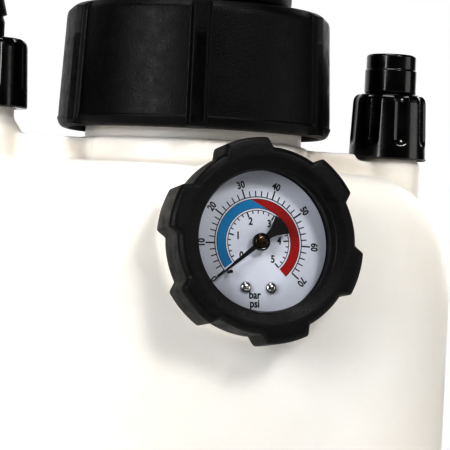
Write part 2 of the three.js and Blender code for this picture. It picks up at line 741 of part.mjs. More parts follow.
function handle() {
  const foot = COLLAR_Z + COLLAR_H + HANDLE_LIFT;
  const ceiling = GUIDE_TOP_Z + HANDLE_HEADROOM;
  const roof = ceiling + SKIRT_ROOF;
  const hub = turned(
    [
      [0, foot],
      [SKIRT_R, foot],
      [SKIRT_R, roof - SKIRT_EDGE],
      [SKIRT_R - SKIRT_EDGE, roof],
      [HUB_FOOT_R, GRIP_Z - HUB_FOOT_DROP],
      [HUB_R, GRIP_Z],
      [HUB_TOP_R, GRIP_Z + HUB_RISE],
      [0, GRIP_Z + HUB_RISE + HUB_CROWN],
    ],
    SIDES.barrel,
  );
  const lugR = TURRET_R + LUG_OUT + HANDLE_ROOM;
  const lugHalf = LUG_T / 2 + LUG_ROOM;
  const grooveTop = TURRET_Z - LUG_DROP + lugHalf;
  const slotW = LUG_W + 2 * LUG_SLOT_ROOM;
  const slotFoot = foot - PAST;
  return cut(
    join(hub, grip()),
    ring(TURRET_R + HANDLE_ROOM, 0, slotFoot, ceiling, SIDES.barrel),
    ring(lugR, 0, grooveTop - 2 * lugHalf, grooveTop, SIDES.barrel),
    box(slotW, 2 * lugR, grooveTop - slotFoot, 0, 0, (grooveTop + slotFoot) / 2),
    ring(ROD_R + GAP, 0, foot, ROD_TOP_Z + GAP, SIDES.rod),
  );
}
add("handle", handle(), BLACK);

// ---------- port nuts ----------
function portNut(z, holeR) {
  const boreR = PORT_NECK_R + PORT_THREAD_ROOM;
  const body = turned(
    [
      [boreR, z],
      [NUT_FOOT_R, z],
      ...rounded(NUT_TOP_R, z + NUT_H, NUT_ROUND),
      [holeR, z + NUT_H],
      [holeR, z + NUT_H - NUT_TOP_WALL],
      [boreR, z + NUT_H - NUT_TOP_WALL],
    ],
    SIDES.nut,
  );
  const lean = Math.atan2(NUT_FOOT_R - NUT_TOP_R, NUT_H);
  const out = NUT_FOOT_R - FLUTE_FOOT * Math.tan(lean) + FLUTE_R - FLUTE_DEPTH;
  const flute = () =>
    ring(FLUTE_R, 0, 0, NUT_H, SIDES.hole).rotateX(-lean).translate(0, -out, z + FLUTE_FOOT);
  return cut(body, ...spun(flute, NUT_FLUTES, FLUTE_TURN));
}
add("relief_nut", portNut(RELIEF_NUT_Z, STEM_R + RUNNING).translate(PORT_X, 0, 0), GLOSS_BLACK);
add("outlet_nut", portNut(OUTLET_NUT_Z, TAIL_R + GAP).translate(-PORT_X, 0, 0), GLOSS_BLACK);

// ---------- relief valve ----------
const SEAT_Z = RELIEF_RIM_Z + GAP;
const POPPET_Z = RELIEF_RIM_Z - POPPET_DROP;
const SEAT_FACE_Z = POPPET_Z - POPPET_SEAL_ROOM;
const RELIEF_TOP_Z = RELIEF_NUT_Z + NUT_H;
const SPRING_Z = POPPET_Z + POPPET_T + GAP;
const STEM_TOP_Z = RELIEF_TOP_Z + STEM_ABOVE;

function reliefSeat() {
  const outer = PORT_BORE_R - GAP;
  const inner = outer - SEAT_WALL;
  const seat = turned([
    [SEAT_BORE_R, SEAT_FACE_Z - SEAT_FLOOR],
    [outer, SEAT_FACE_Z - SEAT_FLOOR],
    [outer, SEAT_Z],
    [PORT_NECK_R, SEAT_Z],
    [PORT_NECK_R, SEAT_Z + SEAT_T],
    [inner, SEAT_Z + SEAT_T],
    [inner, SEAT_FACE_Z],
    [SEAT_BORE_R, SEAT_FACE_Z],
  ]);
  return seat.translate(PORT_X, 0, 0);
}
add("relief_seat", reliefSeat(), WHITE);

function reliefPoppetSeal() {
  const seal = ring(POPPET_SEAL_R, STEM_R + GAP, SEAT_FACE_Z + GAP, POPPET_Z - GAP, SIDES.rod);
  return seal.translate(PORT_X, 0, 0);
}
add("relief_poppet_seal", reliefPoppetSeal(), RUBBER);

function reliefStem() {
  return turned([
    [0, POPPET_Z - STEM_BELOW],
    [STEM_R, POPPET_Z - STEM_BELOW],
    [STEM_R, POPPET_Z],
    [POPPET_R, POPPET_Z],
    [POPPET_R, POPPET_Z + POPPET_T],
    [STEM_R, POPPET_Z + POPPET_T],
    [STEM_R, STEM_TOP_Z],
    [0, STEM_TOP_Z],
  ]).translate(PORT_X, 0, 0);
}
add("relief_stem", reliefStem(), BRASS);

class Helix extends THREE.Curve {
  constructor(radius, bottom, height, turns) {
    super();
    Object.assign(this, { radius, bottom, height, turns });
  }
  getPoint(t, target = new THREE.Vector3()) {
    const angle = t * this.turns * 2 * Math.PI;
    return target.set(
      this.radius * Math.cos(angle),
      this.radius * Math.sin(angle),
      this.bottom + t * this.height,
    );
  }
}

// A round or oval section carried along a curve.
function swept(curve, steps, across, along, sides) {
  const section = new THREE.Shape(
    Array.from({ length: sides }, (_, i) => {
      const angle = (i / sides) * 2 * Math.PI;
      return new THREE.Vector2(across * Math.cos(angle), along * Math.sin(angle));
    }),
  );
  return new THREE.ExtrudeGeometry(section, { steps, extrudePath: curve, bevelEnabled: false });
}

function reliefSpring() {
  const foot = SPRING_Z + SPRING_END;
  const top = RELIEF_TOP_Z - NUT_TOP_WALL - GAP - SPRING_END;
  const curve = new Helix(SPRING_R, foot, top - foot, SPRING_TURNS);
  const spring = swept(curve, STEPS.spring, SPRING_WIRE_R, SPRING_WIRE_R, SPRING_WIRE_SIDES);
  return spring.translate(PORT_X, 0, 0);
}
add("relief_spring", reliefSpring(), STEEL);

function reliefKnob() {
  const z = RELIEF_TOP_Z + GAP;
  const top = z + KNOB_H;
  const step = top - KNOB_BAND_H;
  const cap = turned([
    [STEM_R + GAP, z],
    [KNOB_R, z],
    [KNOB_R, step - KNOB_EDGE],
    [KNOB_BAND_R - KNOB_GROOVE, step - KNOB_EDGE / 2],
    [KNOB_BAND_R, step],
    [KNOB_BAND_R, top - KNOB_EDGE],
    [KNOB_BAND_R - KNOB_EDGE, top],
    [0, top],
    [0, STEM_TOP_Z + GAP],
    [STEM_R + GAP, STEM_TOP_Z + GAP],
  ]);
  return cap.translate(PORT_X, 0, 0);
}
add("relief_knob", reliefKnob(), GLOSS_BLACK);

// ---------- outlet: hose tail, gasket, dip tube, strainer ----------
const OUTLET_SEAL_Z = OUTLET_RIM_Z + GAP;
const TAIL_FLANGE_Z = OUTLET_SEAL_Z + OUTLET_GASKET_T + GAP;
const OUTLET_TOP_Z = OUTLET_NUT_Z + NUT_H;
const TAIL_TOP_Z = OUTLET_TOP_Z + TAIL_LENGTH;
const SPIGOT_R = DIP_TUBE_R - DIP_TUBE_WALL;

function hoseTail() {
  const barbs = Array.from({ length: BARBS }, (_, i) => {
    const z = TAIL_TOP_Z - BARB_RUN + i * BARB_PITCH;
    return [
      [TAIL_R - BARB_ROOT, z],
      [TAIL_R + BARB_CREST, z + BARB_CREST],
      [TAIL_R - BARB_ROOT, z + BARB_LENGTH],
    ];
  }).flat();
  const flangeTop = OUTLET_TOP_Z - NUT_TOP_WALL - GAP;
  return turned([
    [TAIL_BORE_R - TAIL_BORE_STEP, TAIL_FLANGE_Z - SPIGOT_LENGTH],
    [SPIGOT_R - GAP, TAIL_FLANGE_Z - SPIGOT_LENGTH],
    [SPIGOT_R - GAP, TAIL_FLANGE_Z],
    [PORT_NECK_R, TAIL_FLANGE_Z],
    [PORT_NECK_R, flangeTop],
    [TAIL_R, flangeTop],
    [TAIL_R, OUTLET_TOP_Z + TAIL_SHANK],
    ...barbs,
    [TAIL_R - TAIL_TIP, TAIL_TOP_Z],
    [TAIL_BORE_R, TAIL_TOP_Z],
    [TAIL_BORE_R, TAIL_FLANGE_Z],
    [TAIL_BORE_R - TAIL_BORE_STEP, TAIL_FLANGE_Z - TAIL_BORE_CONE],
  ]).translate(-PORT_X, 0, 0);
}
add("hose_tail", hoseTail(), BLACK);

function outletGasket() {
  const inner = PORT_BORE_R - OUTLET_GASKET_LAP;
  const top = OUTLET_SEAL_Z + OUTLET_GASKET_T;
  return ring(PORT_NECK_R, inner, OUTLET_SEAL_Z, top, SIDES.rod).translate(-PORT_X, 0, 0);
}
add("outlet_gasket", outletGasket(), RUBBER);

function dipTube() {
  const top = TAIL_FLANGE_Z - GAP - DIP_TUBE_STOP;
  return ring(DIP_TUBE_R, SPIGOT_R, STRAINER_Z + DIP_TUBE_END, top).translate(-PORT_X, 0, 0);
}
add("dip_tube", dipTube(), CLEAR);

function strainer() {
  const outer = DIP_TUBE_R + STRAINER_STEP;
  const cup = turned(
    [
      [0, STRAINER_Z],
      [outer, STRAINER_Z],
      [outer, STRAINER_Z + STRAINER_BAND],
      [DIP_TUBE_R + STRAINER_LIP, STRAINER_Z + STRAINER_H],
      [DIP_TUBE_R + GAP, STRAINER_Z + STRAINER_H],
      [DIP_TUBE_R + GAP, STRAINER_Z + STRAINER_FLOOR],
      [0, STRAINER_Z + STRAINER_FLOOR],
    ],
    SIDES.rod,
  );
  const { length, width, height, lift } = STRAINER_SLOT;
  const slots = Array.from({ length: STRAINER_SLOTS }, (_, i) =>
    box(length, width, height, 0, 0, STRAINER_Z + lift).rotateZ(rad((i * 180) / STRAINER_SLOTS)),
  );
  return cut(cup, ...slots).translate(-PORT_X, 0, 0);
}
add("dip_strainer", strainer(), BLACK);

// ---------- gauge: ring nut ----------
function lobedOutline() {
  const points = [];
  for (let i = 0; i < LOBES; i++) {
    const middle = 90 + LOBE_TURN + (i * 360) / LOBES;
    const put = (r, turn) => {
      const a = rad(middle + turn);
      points.push(new THREE.Vector2(r * Math.cos(a), r * Math.sin(a)));
    };
    put(LOBE_GAP_R, -LOBE_FOOT);
    put(LOBE_R - LOBE_EDGE, -LOBE_CORNER);
    LOBE_CREST.forEach((turn) => put(LOBE_R, turn));
    put(LOBE_R - LOBE_EDGE, LOBE_CORNER);
    put(LOBE_GAP_R, LOBE_FOOT);
    LOBE_GAP_TURNS.forEach((turn) => put(LOBE_GAP_R, turn));
  }
  return new THREE.Shape(points);
}

function gaugeNut() {
  const plan = { depth: GAUGE_NUT_L, bevelEnabled: false };
  const blank = new THREE.ExtrudeGeometry(lobedOutline(), plan).translate(0, 0, -GAUGE_NUT_L);
  const widest = LOBE_R + PAST;
  const edges = turned(
    [
      [0, -GAUGE_NUT_L],
      [LOBE_R - NUT_BACK_EDGE.in, -GAUGE_NUT_L],
      [widest, -GAUGE_NUT_L + NUT_BACK_EDGE.run],
      [widest, -NUT_FACE_EDGE.run],
      [LOBE_R - NUT_FACE_EDGE.in, 0],
      [0, 0],
    ],
    SIDES.tank,
  );
  const mouthR = APERTURE_R + APERTURE_DRAFT;
  const aperture = turned(
    [
      [0, -GAUGE_LIP - PAST],
      [APERTURE_R, -GAUGE_LIP - PAST],
      [APERTURE_R, -GAUGE_LIP],
      [mouthR, -DISH_DEPTH],
      [mouthR + DISH_W, 0],
      [mouthR + DISH_W, PAST],
      [0, PAST],
    ],
    SIDES.neck,
  );
  const bore = ring(GAUGE_NECK_R + GAUGE_THREAD_ROOM, 0, -GAUGE_NUT_L - PAST, -GAUGE_LIP, SIDES.neck);
  return cut(common(blank, edges), aperture, bore);
}
add("gauge_nut", gaugeNut(), BLACK, gauge);

// ---------- gauge: window, case, gasket, dial ----------
const CASE_RIM_R = GAUGE_NECK_R - CASE_RIM_INSET;
const CASE_BACK_Z = CASE_RIM_Z - CASE_DEPTH;
const WINDOW_Z = -(GAUGE_LIP + GAP);
const window = ring(CASE_RIM_R, 0, WINDOW_Z - WINDOW_T, WINDOW_Z, SIDES.neck);
add("gauge_window", window, CLEAR, gauge);
const gasket = ring(CASE_RIM_R, GAUGE_BORE_R, GASKET_Z - GASKET_T, GASKET_Z, SIDES.neck);
add("gauge_gasket", gasket, RUBBER, gauge);

function gaugeCase() {
  const inner = CASE_R - CASE_WALL;
  const floor = CASE_BACK_Z + CASE_WALL;
  const cup = turned(
    [
      [0, CASE_BACK_Z],
      [CASE_R, CASE_BACK_Z],
      [CASE_R, CASE_RIM_Z - CASE_RIM_T],
      [CASE_RIM_R, CASE_RIM_Z - CASE_RIM_T],
      [CASE_RIM_R, CASE_RIM_Z],
      [inner, CASE_RIM_Z],
      [inner, floor],
      [0, floor],
    ],
    SIDES.neck,
  );
  const hole = ring(GAUGE_STEM_R + GAP, 0, CASE_BACK_Z - PAST, floor + PAST, SIDES.rod);
  return cut(cup, hole.translate(0, -SCREW_DROP, 0));
}
add("gauge_case", gaugeCase(), BLACK, gauge);

const DIAL_BACK_Z = -DIAL_DEPTH - DIAL_T;
const SCREWS = { left: -SCREW_SPACING / 2, right: SCREW_SPACING / 2 };
const screwHoles = (z0, z1) =>
  Object.values(SCREWS).map((x) => ring(SCREW_HOLE_R, 0, z0, z1, SIDES.hole).translate(x, -SCREW_DROP, 0));

function gaugeDial() {
  const outer = CASE_R - CASE_WALL - GAP;
  const plate = ring(outer, DIAL_HOLE_R, DIAL_BACK_Z, -DIAL_DEPTH, SIDES.neck);
  return cut(plate, ...screwHoles(DIAL_BACK_Z - PAST, 0));
}
add("gauge_dial", gaugeDial(), WHITE, gauge);

function dialScrew(x) {
  const z = -DIAL_DEPTH + GAP;
  return turned([
    [0, z - SCREW.length],
    [SCREW.shank, z - SCREW.length],
    [SCREW.shank, z],
    [SCREW.head, z],
    [SCREW.head, z + SCREW.band],
    [SCREW.crownR, z + SCREW.shoulder],
    [0, z + SCREW.crown],
  ]).translate(x, -SCREW_DROP, 0);
}
for (const [side, x] of Object.entries(SCREWS)) add("dial_screw_" + side, dialScrew(x), STEEL, gauge);

function zeroStopPin() {
  const angle = rad(ZERO_ANGLE + PIN_TURN);
  const out = CASE_R - PIN_INSET;
  const pin = ring(PIN_R, 0, -DIAL_DEPTH + GAP, -DIAL_DEPTH + PIN_TOP, SIDES.pin);
  return pin.translate(out * Math.cos(angle), out * Math.sin(angle), 0);
}
add("zero_stop_pin", zeroStopPin(), BRASS, gauge);

// ---------- gauge: pressure element ----------
const BLOCK_TOP_Z = DIAL_BACK_Z - GAP;
const BLOCK_BACK_Z = CASE_BACK_Z + CASE_WALL + GAP;

function gaugeStem() {
  const height = BLOCK_TOP_Z - BLOCK_BACK_Z;
  const halfBlock = TUBE_R * Math.cos(rad(TUBE_START)) - TUBE_CLEARANCE;
  const end = CASE_BACK_Z - GAUGE_STEM_L;
  const block = box(2 * halfBlock, BLOCK_DEPTH, height, 0, 0, BLOCK_BACK_Z + height / 2);
  const stem = ring(GAUGE_STEM_R, 0, end, BLOCK_BACK_Z + CORE, SIDES.rod);
  const bore = ring(GAUGE_STEM_BORE_R, 0, end - PAST, BLOCK_BACK_Z + GAUGE_STEM_BORE_END, SIDES.pin);
  const body = cut(join(block, stem), bore).translate(0, -SCREW_DROP, 0);
  return cut(body, ...screwHoles(BLOCK_TOP_Z - SCREW_HOLE_DEPTH, BLOCK_TOP_Z + PAST));
}
add("gauge_stem", gaugeStem(), BRASS, gauge);

class Arc extends THREE.Curve {
  constructor(radius, from, to, z) {
    super();
    Object.assign(this, { radius, from, to, z });
  }
  getPoint(t, target = new THREE.Vector3()) {
    const angle = rad(this.from + t * (this.to - this.from));
    return target.set(this.radius * Math.cos(angle), this.radius * Math.sin(angle), this.z);
  }
}
const tubeCurve = new Arc(TUBE_R, TUBE_START, TUBE_END, BLOCK_BACK_Z + TUBE_LIFT);
add("bourdon_tube", swept(tubeCurve, STEPS.tube, TUBE_ACROSS, TUBE_ALONG, TUBE_SIDES), BRASS, gauge);

// ---------- gauge: movement ----------
const FRONT_PLATE_Z = BLOCK_TOP_Z - PLATE_DROP;
const REAR_PLATE_Z = FRONT_PLATE_Z - PLATE_SPACING;
const GEAR_Z = (REAR_PLATE_Z + FRONT_PLATE_Z) / 2;
const PIVOT_X = PIVOT_R * Math.cos(rad(SECTOR_TURN));
const PIVOT_Y = PIVOT_R * Math.sin(rad(SECTOR_TURN));

function movementFrame() {
  const foot = -SCREW_DROP + BLOCK_DEPTH / 2 + GAP;
  const height = PLATE_HEAD - foot;
  const plate = (z) => box(PLATE_W, height, PLATE_T, PLATE_SHIFT, (PLATE_HEAD + foot) / 2, z);
  const post = (y) => ring(POST_R, 0, REAR_PLATE_Z, FRONT_PLATE_Z, SIDES.pin).translate(POST_X, y, 0);
  const arborHole = (x, y) => {
    const hole = ring(ARBOR_HOLE_R, 0, REAR_PLATE_Z - ARBOR_PAST, FRONT_PLATE_Z + ARBOR_PAST, SIDES.hole);
    return hole.translate(x, y, 0);
  };
  return cut(
    join(plate(REAR_PLATE_Z), plate(FRONT_PLATE_Z), post(PLATE_HEAD - POST_HEAD), post(foot + POST_FOOT)),
    arborHole(0, 0),
    arborHole(PIVOT_X, PIVOT_Y),
  );
}
add("movement_frame", movementFrame(), BRASS, gauge);

// Slim straight-sided teeth, thin enough to run with backlash.
function toothed(teeth, kept, thickness) {
  const pitchR = (MODULE * teeth) / 2;
  const step = 360 / teeth;
  const half = (MODULE * Math.PI) / 2;
  const root = pitchR - TOOTH.root * MODULE - TOOTH.sink;
  const tip = pitchR + TOOTH.tip * MODULE;
  const outline = new THREE.Shape([
    new THREE.Vector2(root, -TOOTH.rootHalf * half),
    new THREE.Vector2(tip, -TOOTH.tipHalf * half),
    new THREE.Vector2(tip, TOOTH.tipHalf * half),
    new THREE.Vector2(root, TOOTH.rootHalf * half),
  ]);
  const plan = { depth: thickness, bevelEnabled: false };
  const tooth = (i) =>
    new THREE.ExtrudeGeometry(outline, plan).rotateZ(rad((i - (kept - 1) / 2) * step));
  return Array.from({ length: kept }, (_, i) => tooth(i));
}

function pinionSpindle() {
  const z = GEAR_Z - PINION_T / 2;
  const core = ring(MODULE * (PINION_TEETH / 2 - TOOTH.root), 0, z, z + PINION_T, SIDES.hole);
  const arbor = ring(SPINDLE_R, 0, REAR_PLATE_Z - SPINDLE_END, -DIAL_DEPTH + SPINDLE_TOP, SIDES.pin);
  const teeth = toothed(PINION_TEETH, PINION_TEETH, PINION_T).map((tooth) =>
    tooth.rotateZ(rad(SECTOR_TURN + 180 / PINION_TEETH + 180)).translate(0, 0, z),
  );
  return join(core, arbor, ...teeth);
}
add("pinion_spindle", pinionSpindle(), BRASS, gauge);

// At rest the sector's arc reaches from the pinion clockwise, so a rising needle draws it through.
const sectorTurn = SECTOR_TURN + 180 - SECTOR_LEAD * (360 / SECTOR_TEETH);

function sectorGear() {
  const rootR = MODULE * (SECTOR_TEETH / 2 - TOOTH.root);
  const half = rad((SECTOR_KEPT * 180) / SECTOR_TEETH);
  const tailX = -TAIL_ARM - SECTOR_TAIL.past;
  const fan = new THREE.Shape();
  fan.moveTo(0, -SECTOR_HUB);
  fan.lineTo(rootR * Math.cos(half), -rootR * Math.sin(half));
  fan.absarc(0, 0, rootR, -half, half, false);
  fan.lineTo(0, SECTOR_HUB);
  fan.lineTo(tailX, SECTOR_TAIL.half);
  fan.lineTo(tailX, -SECTOR_TAIL.half);
  const plan = { depth: SECTOR_T, bevelEnabled: false, curveSegments: SIDES.tiny };
  const plate = new THREE.ExtrudeGeometry(fan, plan);
  const reach = PLATE_SPACING / 2 + SPINDLE_END;
  const arbor = ring(SPINDLE_R, 0, -reach, reach, SIDES.pin);
  const tailPin = ring(TAIL_PIN.r, 0, TAIL_PIN.foot, TAIL_PIN_TOP, SIDES.pin).translate(-TAIL_ARM, 0, 0);
  return join(plate, ...toothed(SECTOR_TEETH, SECTOR_KEPT, SECTOR_T), arbor, tailPin)
    .rotateZ(rad(sectorTurn))
    .translate(PIVOT_X, PIVOT_Y, GEAR_Z);
}
add("sector_gear", sectorGear(), BRASS, gauge);

// The link lies over the sector's tail pin, clear of it, and reaches towards the end of the tube.
function linkBar() {
  const bar = box(LINK_LENGTH + LINK_W, LINK_W, LINK_T, LINK_LENGTH / 2, 0, 0);
  return cut(bar, ring(LINK_HOLE_R, 0, -PAST, PAST, SIDES.pin))
    .rotateZ(rad(LINK_TURN))
    .translate(
      PIVOT_X - TAIL_ARM * Math.cos(rad(sectorTurn)),
      PIVOT_Y - TAIL_ARM * Math.sin(rad(sectorTurn)),
      GEAR_Z + TAIL_PIN_TOP + GAP + LINK_T / 2,
    );
}
add("link_bar", linkBar(), BRASS, gauge);

// ---------- gauge: pointer ----------
const POINTER_Z = -DIAL_DEPTH + POINTER_LIFT;

function pointer() {
  const { x: tailX, half: tailHalf, r: tailR, turn } = POINTER_TAIL;
  const blade = new THREE.Shape();
  blade.moveTo(POINTER_L, -TIP_HALF);
  blade.lineTo(POINTER_L, TIP_HALF);
  blade.lineTo(WAIST.x, WAIST.half);
  blade.lineTo(-WAIST.x, WAIST.tailHalf);
  blade.lineTo(-POINTER_NECK.x, POINTER_NECK.half);
  blade.lineTo(-tailX, tailHalf);
  blade.absarc(0, 0, tailR, Math.PI - turn, Math.PI + turn, false);
  blade.lineTo(-POINTER_NECK.x, -POINTER_NECK.half);
  blade.lineTo(-WAIST.x, -WAIST.tailHalf);
  blade.lineTo(WAIST.x, -WAIST.half);
  const plan = { depth: POINTER_T, bevelEnabled: false, curveSegments: 5 };
  const plate = new THREE.ExtrudeGeometry(blade, plan);
  const hub = ring(POINTER_HUB.r, 0, -POINTER_HUB.back, POINTER_HUB.front, SIDES.rod);
  const bore = ring(SPINDLE_R + POINTER_BORE.room, 0, -PAST, POINTER_BORE.end, SIDES.pin);
  return cut(join(plate, hub), bore).rotateZ(rad(ZERO_ANGLE)).translate(0, 0, POINTER_Z);
}
add("pointer", pointer(), BLACK, gauge);

const cap = ring(POINTER_CAP.r, 0, POINTER_Z + POINTER_CAP.back, POINTER_Z + POINTER_CAP.front);
add("pointer_cap", cap, BRASS, gauge);

export default group;
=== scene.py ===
# %% [markdown]
# # A hand-pumped pressure tank
# The object is a milky polyethylene tank with a plunger pump in its wide neck, a dial gauge held
# by a lobed ring nut, a relief valve and a hose outlet. A CAD model already fixes every size and
# every joint, so this lesson dresses that frame: each visible piece is remade with finer
# shape, and each one that stays is given a real finish.

# %% load the fixed frame
import json
import math

import bmesh
import bpy
from mathutils import Matrix, Quaternion, Vector


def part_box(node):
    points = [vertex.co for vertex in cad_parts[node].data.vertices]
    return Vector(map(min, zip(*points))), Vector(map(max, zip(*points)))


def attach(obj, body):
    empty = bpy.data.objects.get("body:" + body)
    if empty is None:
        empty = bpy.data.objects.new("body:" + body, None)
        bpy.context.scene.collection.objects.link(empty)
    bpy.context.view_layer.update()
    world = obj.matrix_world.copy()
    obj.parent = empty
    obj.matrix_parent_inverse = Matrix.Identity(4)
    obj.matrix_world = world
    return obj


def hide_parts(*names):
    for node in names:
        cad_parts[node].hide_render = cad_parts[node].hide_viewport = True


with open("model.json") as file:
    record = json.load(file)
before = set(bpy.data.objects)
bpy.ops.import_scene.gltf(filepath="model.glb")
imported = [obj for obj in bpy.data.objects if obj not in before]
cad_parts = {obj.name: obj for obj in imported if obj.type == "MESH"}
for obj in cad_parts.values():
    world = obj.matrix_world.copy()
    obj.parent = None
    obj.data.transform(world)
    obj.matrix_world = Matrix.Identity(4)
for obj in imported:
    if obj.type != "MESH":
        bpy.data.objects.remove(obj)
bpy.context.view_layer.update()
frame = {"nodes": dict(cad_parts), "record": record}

MM = 0.001
RECORD = frame["record"]
JOINTS = {joint["name"]: joint for joint in RECORD["behaviour"]["joints"]}
BODY_OF = {node: body for body, nodes in RECORD["behaviour"]["bodies"].items() for node in nodes}
SLOT_OF = {part["node"]: part["material_slot"] for part in RECORD["subparts"]}

# %% [markdown]
# ## The camera
# The camera stands a little to the left of the gauge, level with it, close enough for the
# perspective to show, and is turned slightly about its own line of sight. Setting it first means
# that every later picture is framed the same way.

# %% place the camera
NECK_SHOWN = 3.3 * MM
PEDESTAL_HEIGHT = 9.4 * MM
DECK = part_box("pump_collar")[0][2] - NECK_SHOWN - PEDESTAL_HEIGHT
CAMERA_TURN = math.radians(-19.4)
CAMERA_ROLL = math.radians(2.73)
CAMERA_AWAY, CAMERA_ASIDE, CAMERA_DROP = 0.733, 0.01325, 0.0202
FOCAL_LENGTH_MM, SENSOR_WIDTH_MM = 159, 36
toward = Vector((math.sin(CAMERA_TURN), -math.cos(CAMERA_TURN), 0))
rightward = Vector((math.cos(CAMERA_TURN), math.sin(CAMERA_TURN), 0))

lens = bpy.data.cameras.new("camera")
lens.lens = FOCAL_LENGTH_MM
lens.sensor_width = SENSOR_WIDTH_MM
camera = bpy.data.objects.new("camera", lens)
bpy.context.collection.objects.link(camera)
camera.location = toward * CAMERA_AWAY + rightward * CAMERA_ASIDE + Vector((0, 0, DECK - CAMERA_DROP))
camera.rotation_mode = "QUATERNION"
roll = Quaternion((0, 0, 1), CAMERA_ROLL)
camera.rotation_quaternion = (-toward).to_track_quat("-Z", "Y") @ roll
bpy.context.scene.camera = camera
print("camera at", [round(v, 3) for v in camera.location])

# %% [markdown]
# ## The studio
# A milky tank looks right in a bright, soft room. The room itself is a dim white for everything
# but the eye, so that black plastic stays black, and soft panels do the lighting: a large one
# from the left, weaker ones from the right and one overhead. A backdrop behind the tank, with
# one more panel at its back right, gives the black edges their pale rims.

# %% light the studio
def studio_room(seen, felt):
    world = bpy.data.worlds.new("studio")
    bpy.context.scene.world = world
    world.use_nodes = True
    nodes, links = world.node_tree.nodes, world.node_tree.links
    nodes.clear()
    path = nodes.new("ShaderNodeLightPath")
    shown = nodes.new("ShaderNodeBackground")
    shown.inputs["Color"].default_value = (1, 1, 1, 1)
    shown.inputs["Strength"].default_value = seen
    cast = nodes.new("ShaderNodeBackground")
    cast.inputs["Color"].default_value = (1, 0.96, 0.91, 1)
    cast.inputs["Strength"].default_value = felt
    blend = nodes.new("ShaderNodeMixShader")
    output = nodes.new("ShaderNodeOutputWorld")
    links.new(path.outputs["Is Camera Ray"], blend.inputs[0])
    links.new(cast.outputs[0], blend.inputs[1])
    links.new(shown.outputs[0], blend.inputs[2])
    links.new(blend.outputs[0], output.inputs[0])


def panel(name, place, aim, width, height, watts, colour=(1, 1, 1)):
    data = bpy.data.lights.new(name, "AREA")
    data.shape = "RECTANGLE"
    data.size = width
    data.size_y = height
    data.energy = watts
    data.color = colour
    light = bpy.data.objects.new(name, data)
    light.location = place
    light.rotation_mode = "QUATERNION"
    light.rotation_quaternion = (Vector(aim) - Vector(place)).to_track_quat("-Z", "Y")
    bpy.context.collection.objects.link(light)


FLOOR_REACH = 1.0


def pale_floor():
    data = bpy.data.meshes.new("floor")
    corners = [(x * FLOOR_REACH, y * FLOOR_REACH, 0) for x, y in ((-1, -1), (1, -1), (1, 1), (-1, 1))]
    data.from_pydata(corners, [], [(0, 1, 2, 3)])
    floor = bpy.data.objects.new("floor", data)
    bpy.context.collection.objects.link(floor)
    paint = bpy.data.materials.new("floor_paint")
    paint.use_nodes = True
    shader = paint.node_tree.nodes["Principled BSDF"]
    shader.inputs["Base Color"].default_value = (0.9, 0.9, 0.89, 1)
    shader.inputs["Roughness"].default_value = 0.7
    data.materials.append(paint)


GAUGE_AT = Vector(JOINTS["gauge_nut_turn"]["pos_m"])
DISPLAY_GAMMA = 0.66
bpy.context.scene.view_settings.view_transform = "Standard"
bpy.context.scene.view_settings.gamma = DISPLAY_GAMMA
studio_room(seen=1.0, felt=0.05)
panel("left_softbox", (-1.25, -0.85, 0.62), GAUGE_AT, 0.6, 0.8, 18)
panel("front_right", (0.42, -1.3, 1.15), GAUGE_AT, 0.35, 0.35, 11, (1, 0.985, 0.965))
panel("overhead", (-0.1, -0.15, 1.5), GAUGE_AT, 0.8, 0.5, 10)
panel("right_fill", (1.3, -0.75, 0.3), GAUGE_AT, 0.7, 0.9, 5.5, (1, 0.975, 0.95))
panel("backdrop", (-0.5, 1.6, 0.5), GAUGE_AT, 3.0, 1.8, 20)
panel("back_right", (1.0, 0.9, 0.6), GAUGE_AT, 0.9, 0.9, 5)
pale_floor()
print("studio: 6 panels and a floor")

# %% [markdown]
# ## Finishes
# Every finish is a Principled shader fed by noise in object coordinates. All the pieces share one
# origin and are in metres, so a grain of 1200 per metre is the same grain on each of them.
# Three small helpers cover what plastic and metal need: a mottled colour, an uneven gloss
# and a stack of bumps.

# %% helpers for finishes
MOTTLE_FROM, MOTTLE_TO = 0.35, 0.65
GLOSS_FROM, GLOSS_TO = 0.3, 0.7


def finish(name, roughness=0.5, metallic=0.0, **sockets):
    made = bpy.data.materials.new(name)
    made.use_nodes = True
    shader = made.node_tree.nodes["Principled BSDF"]
    shader.inputs["Roughness"].default_value = roughness
    shader.inputs["Metallic"].default_value = metallic
    for socket, value in sockets.items():
        shader.inputs[socket.replace("_", " ")].default_value = value
    return made


def noise(made, scale, detail=3.0, stretch=(1, 1, 1)):
    nodes, links = made.node_tree.nodes, made.node_tree.links
    place = nodes.new("ShaderNodeTexCoord")
    spread = nodes.new("ShaderNodeMapping")
    spread.inputs["Scale"].default_value = stretch
    grain = nodes.new("ShaderNodeTexNoise")
    grain.inputs["Scale"].default_value = scale
    grain.inputs["Detail"].default_value = detail
    links.new(place.outputs["Object"], spread.inputs["Vector"])
    links.new(spread.outputs["Vector"], grain.inputs["Vector"])
    return grain.outputs["Fac"]


def ramp(made, source, stops):
    nodes, links = made.node_tree.nodes, made.node_tree.links
    scale = nodes.new("ShaderNodeValToRGB")
    first, last = scale.color_ramp.elements
    first.position, first.color = stops[0]
    last.position, last.color = stops[-1]
    for position, colour in stops[1:-1]:
        scale.color_ramp.elements.new(position).color = colour
    links.new(source, scale.inputs["Fac"])
    return scale.outputs["Color"]


def rgb(red, green, blue):
    return (red, green, blue, 1)


def mottle(made, low, high, scale, detail=3.0):
    shader = made.node_tree.nodes["Principled BSDF"]
    stops = [(MOTTLE_FROM, rgb(*low)), (MOTTLE_TO, rgb(*high))]
    colour = ramp(made, noise(made, scale, detail), stops)
    made.node_tree.links.new(colour, shader.inputs["Base Color"])


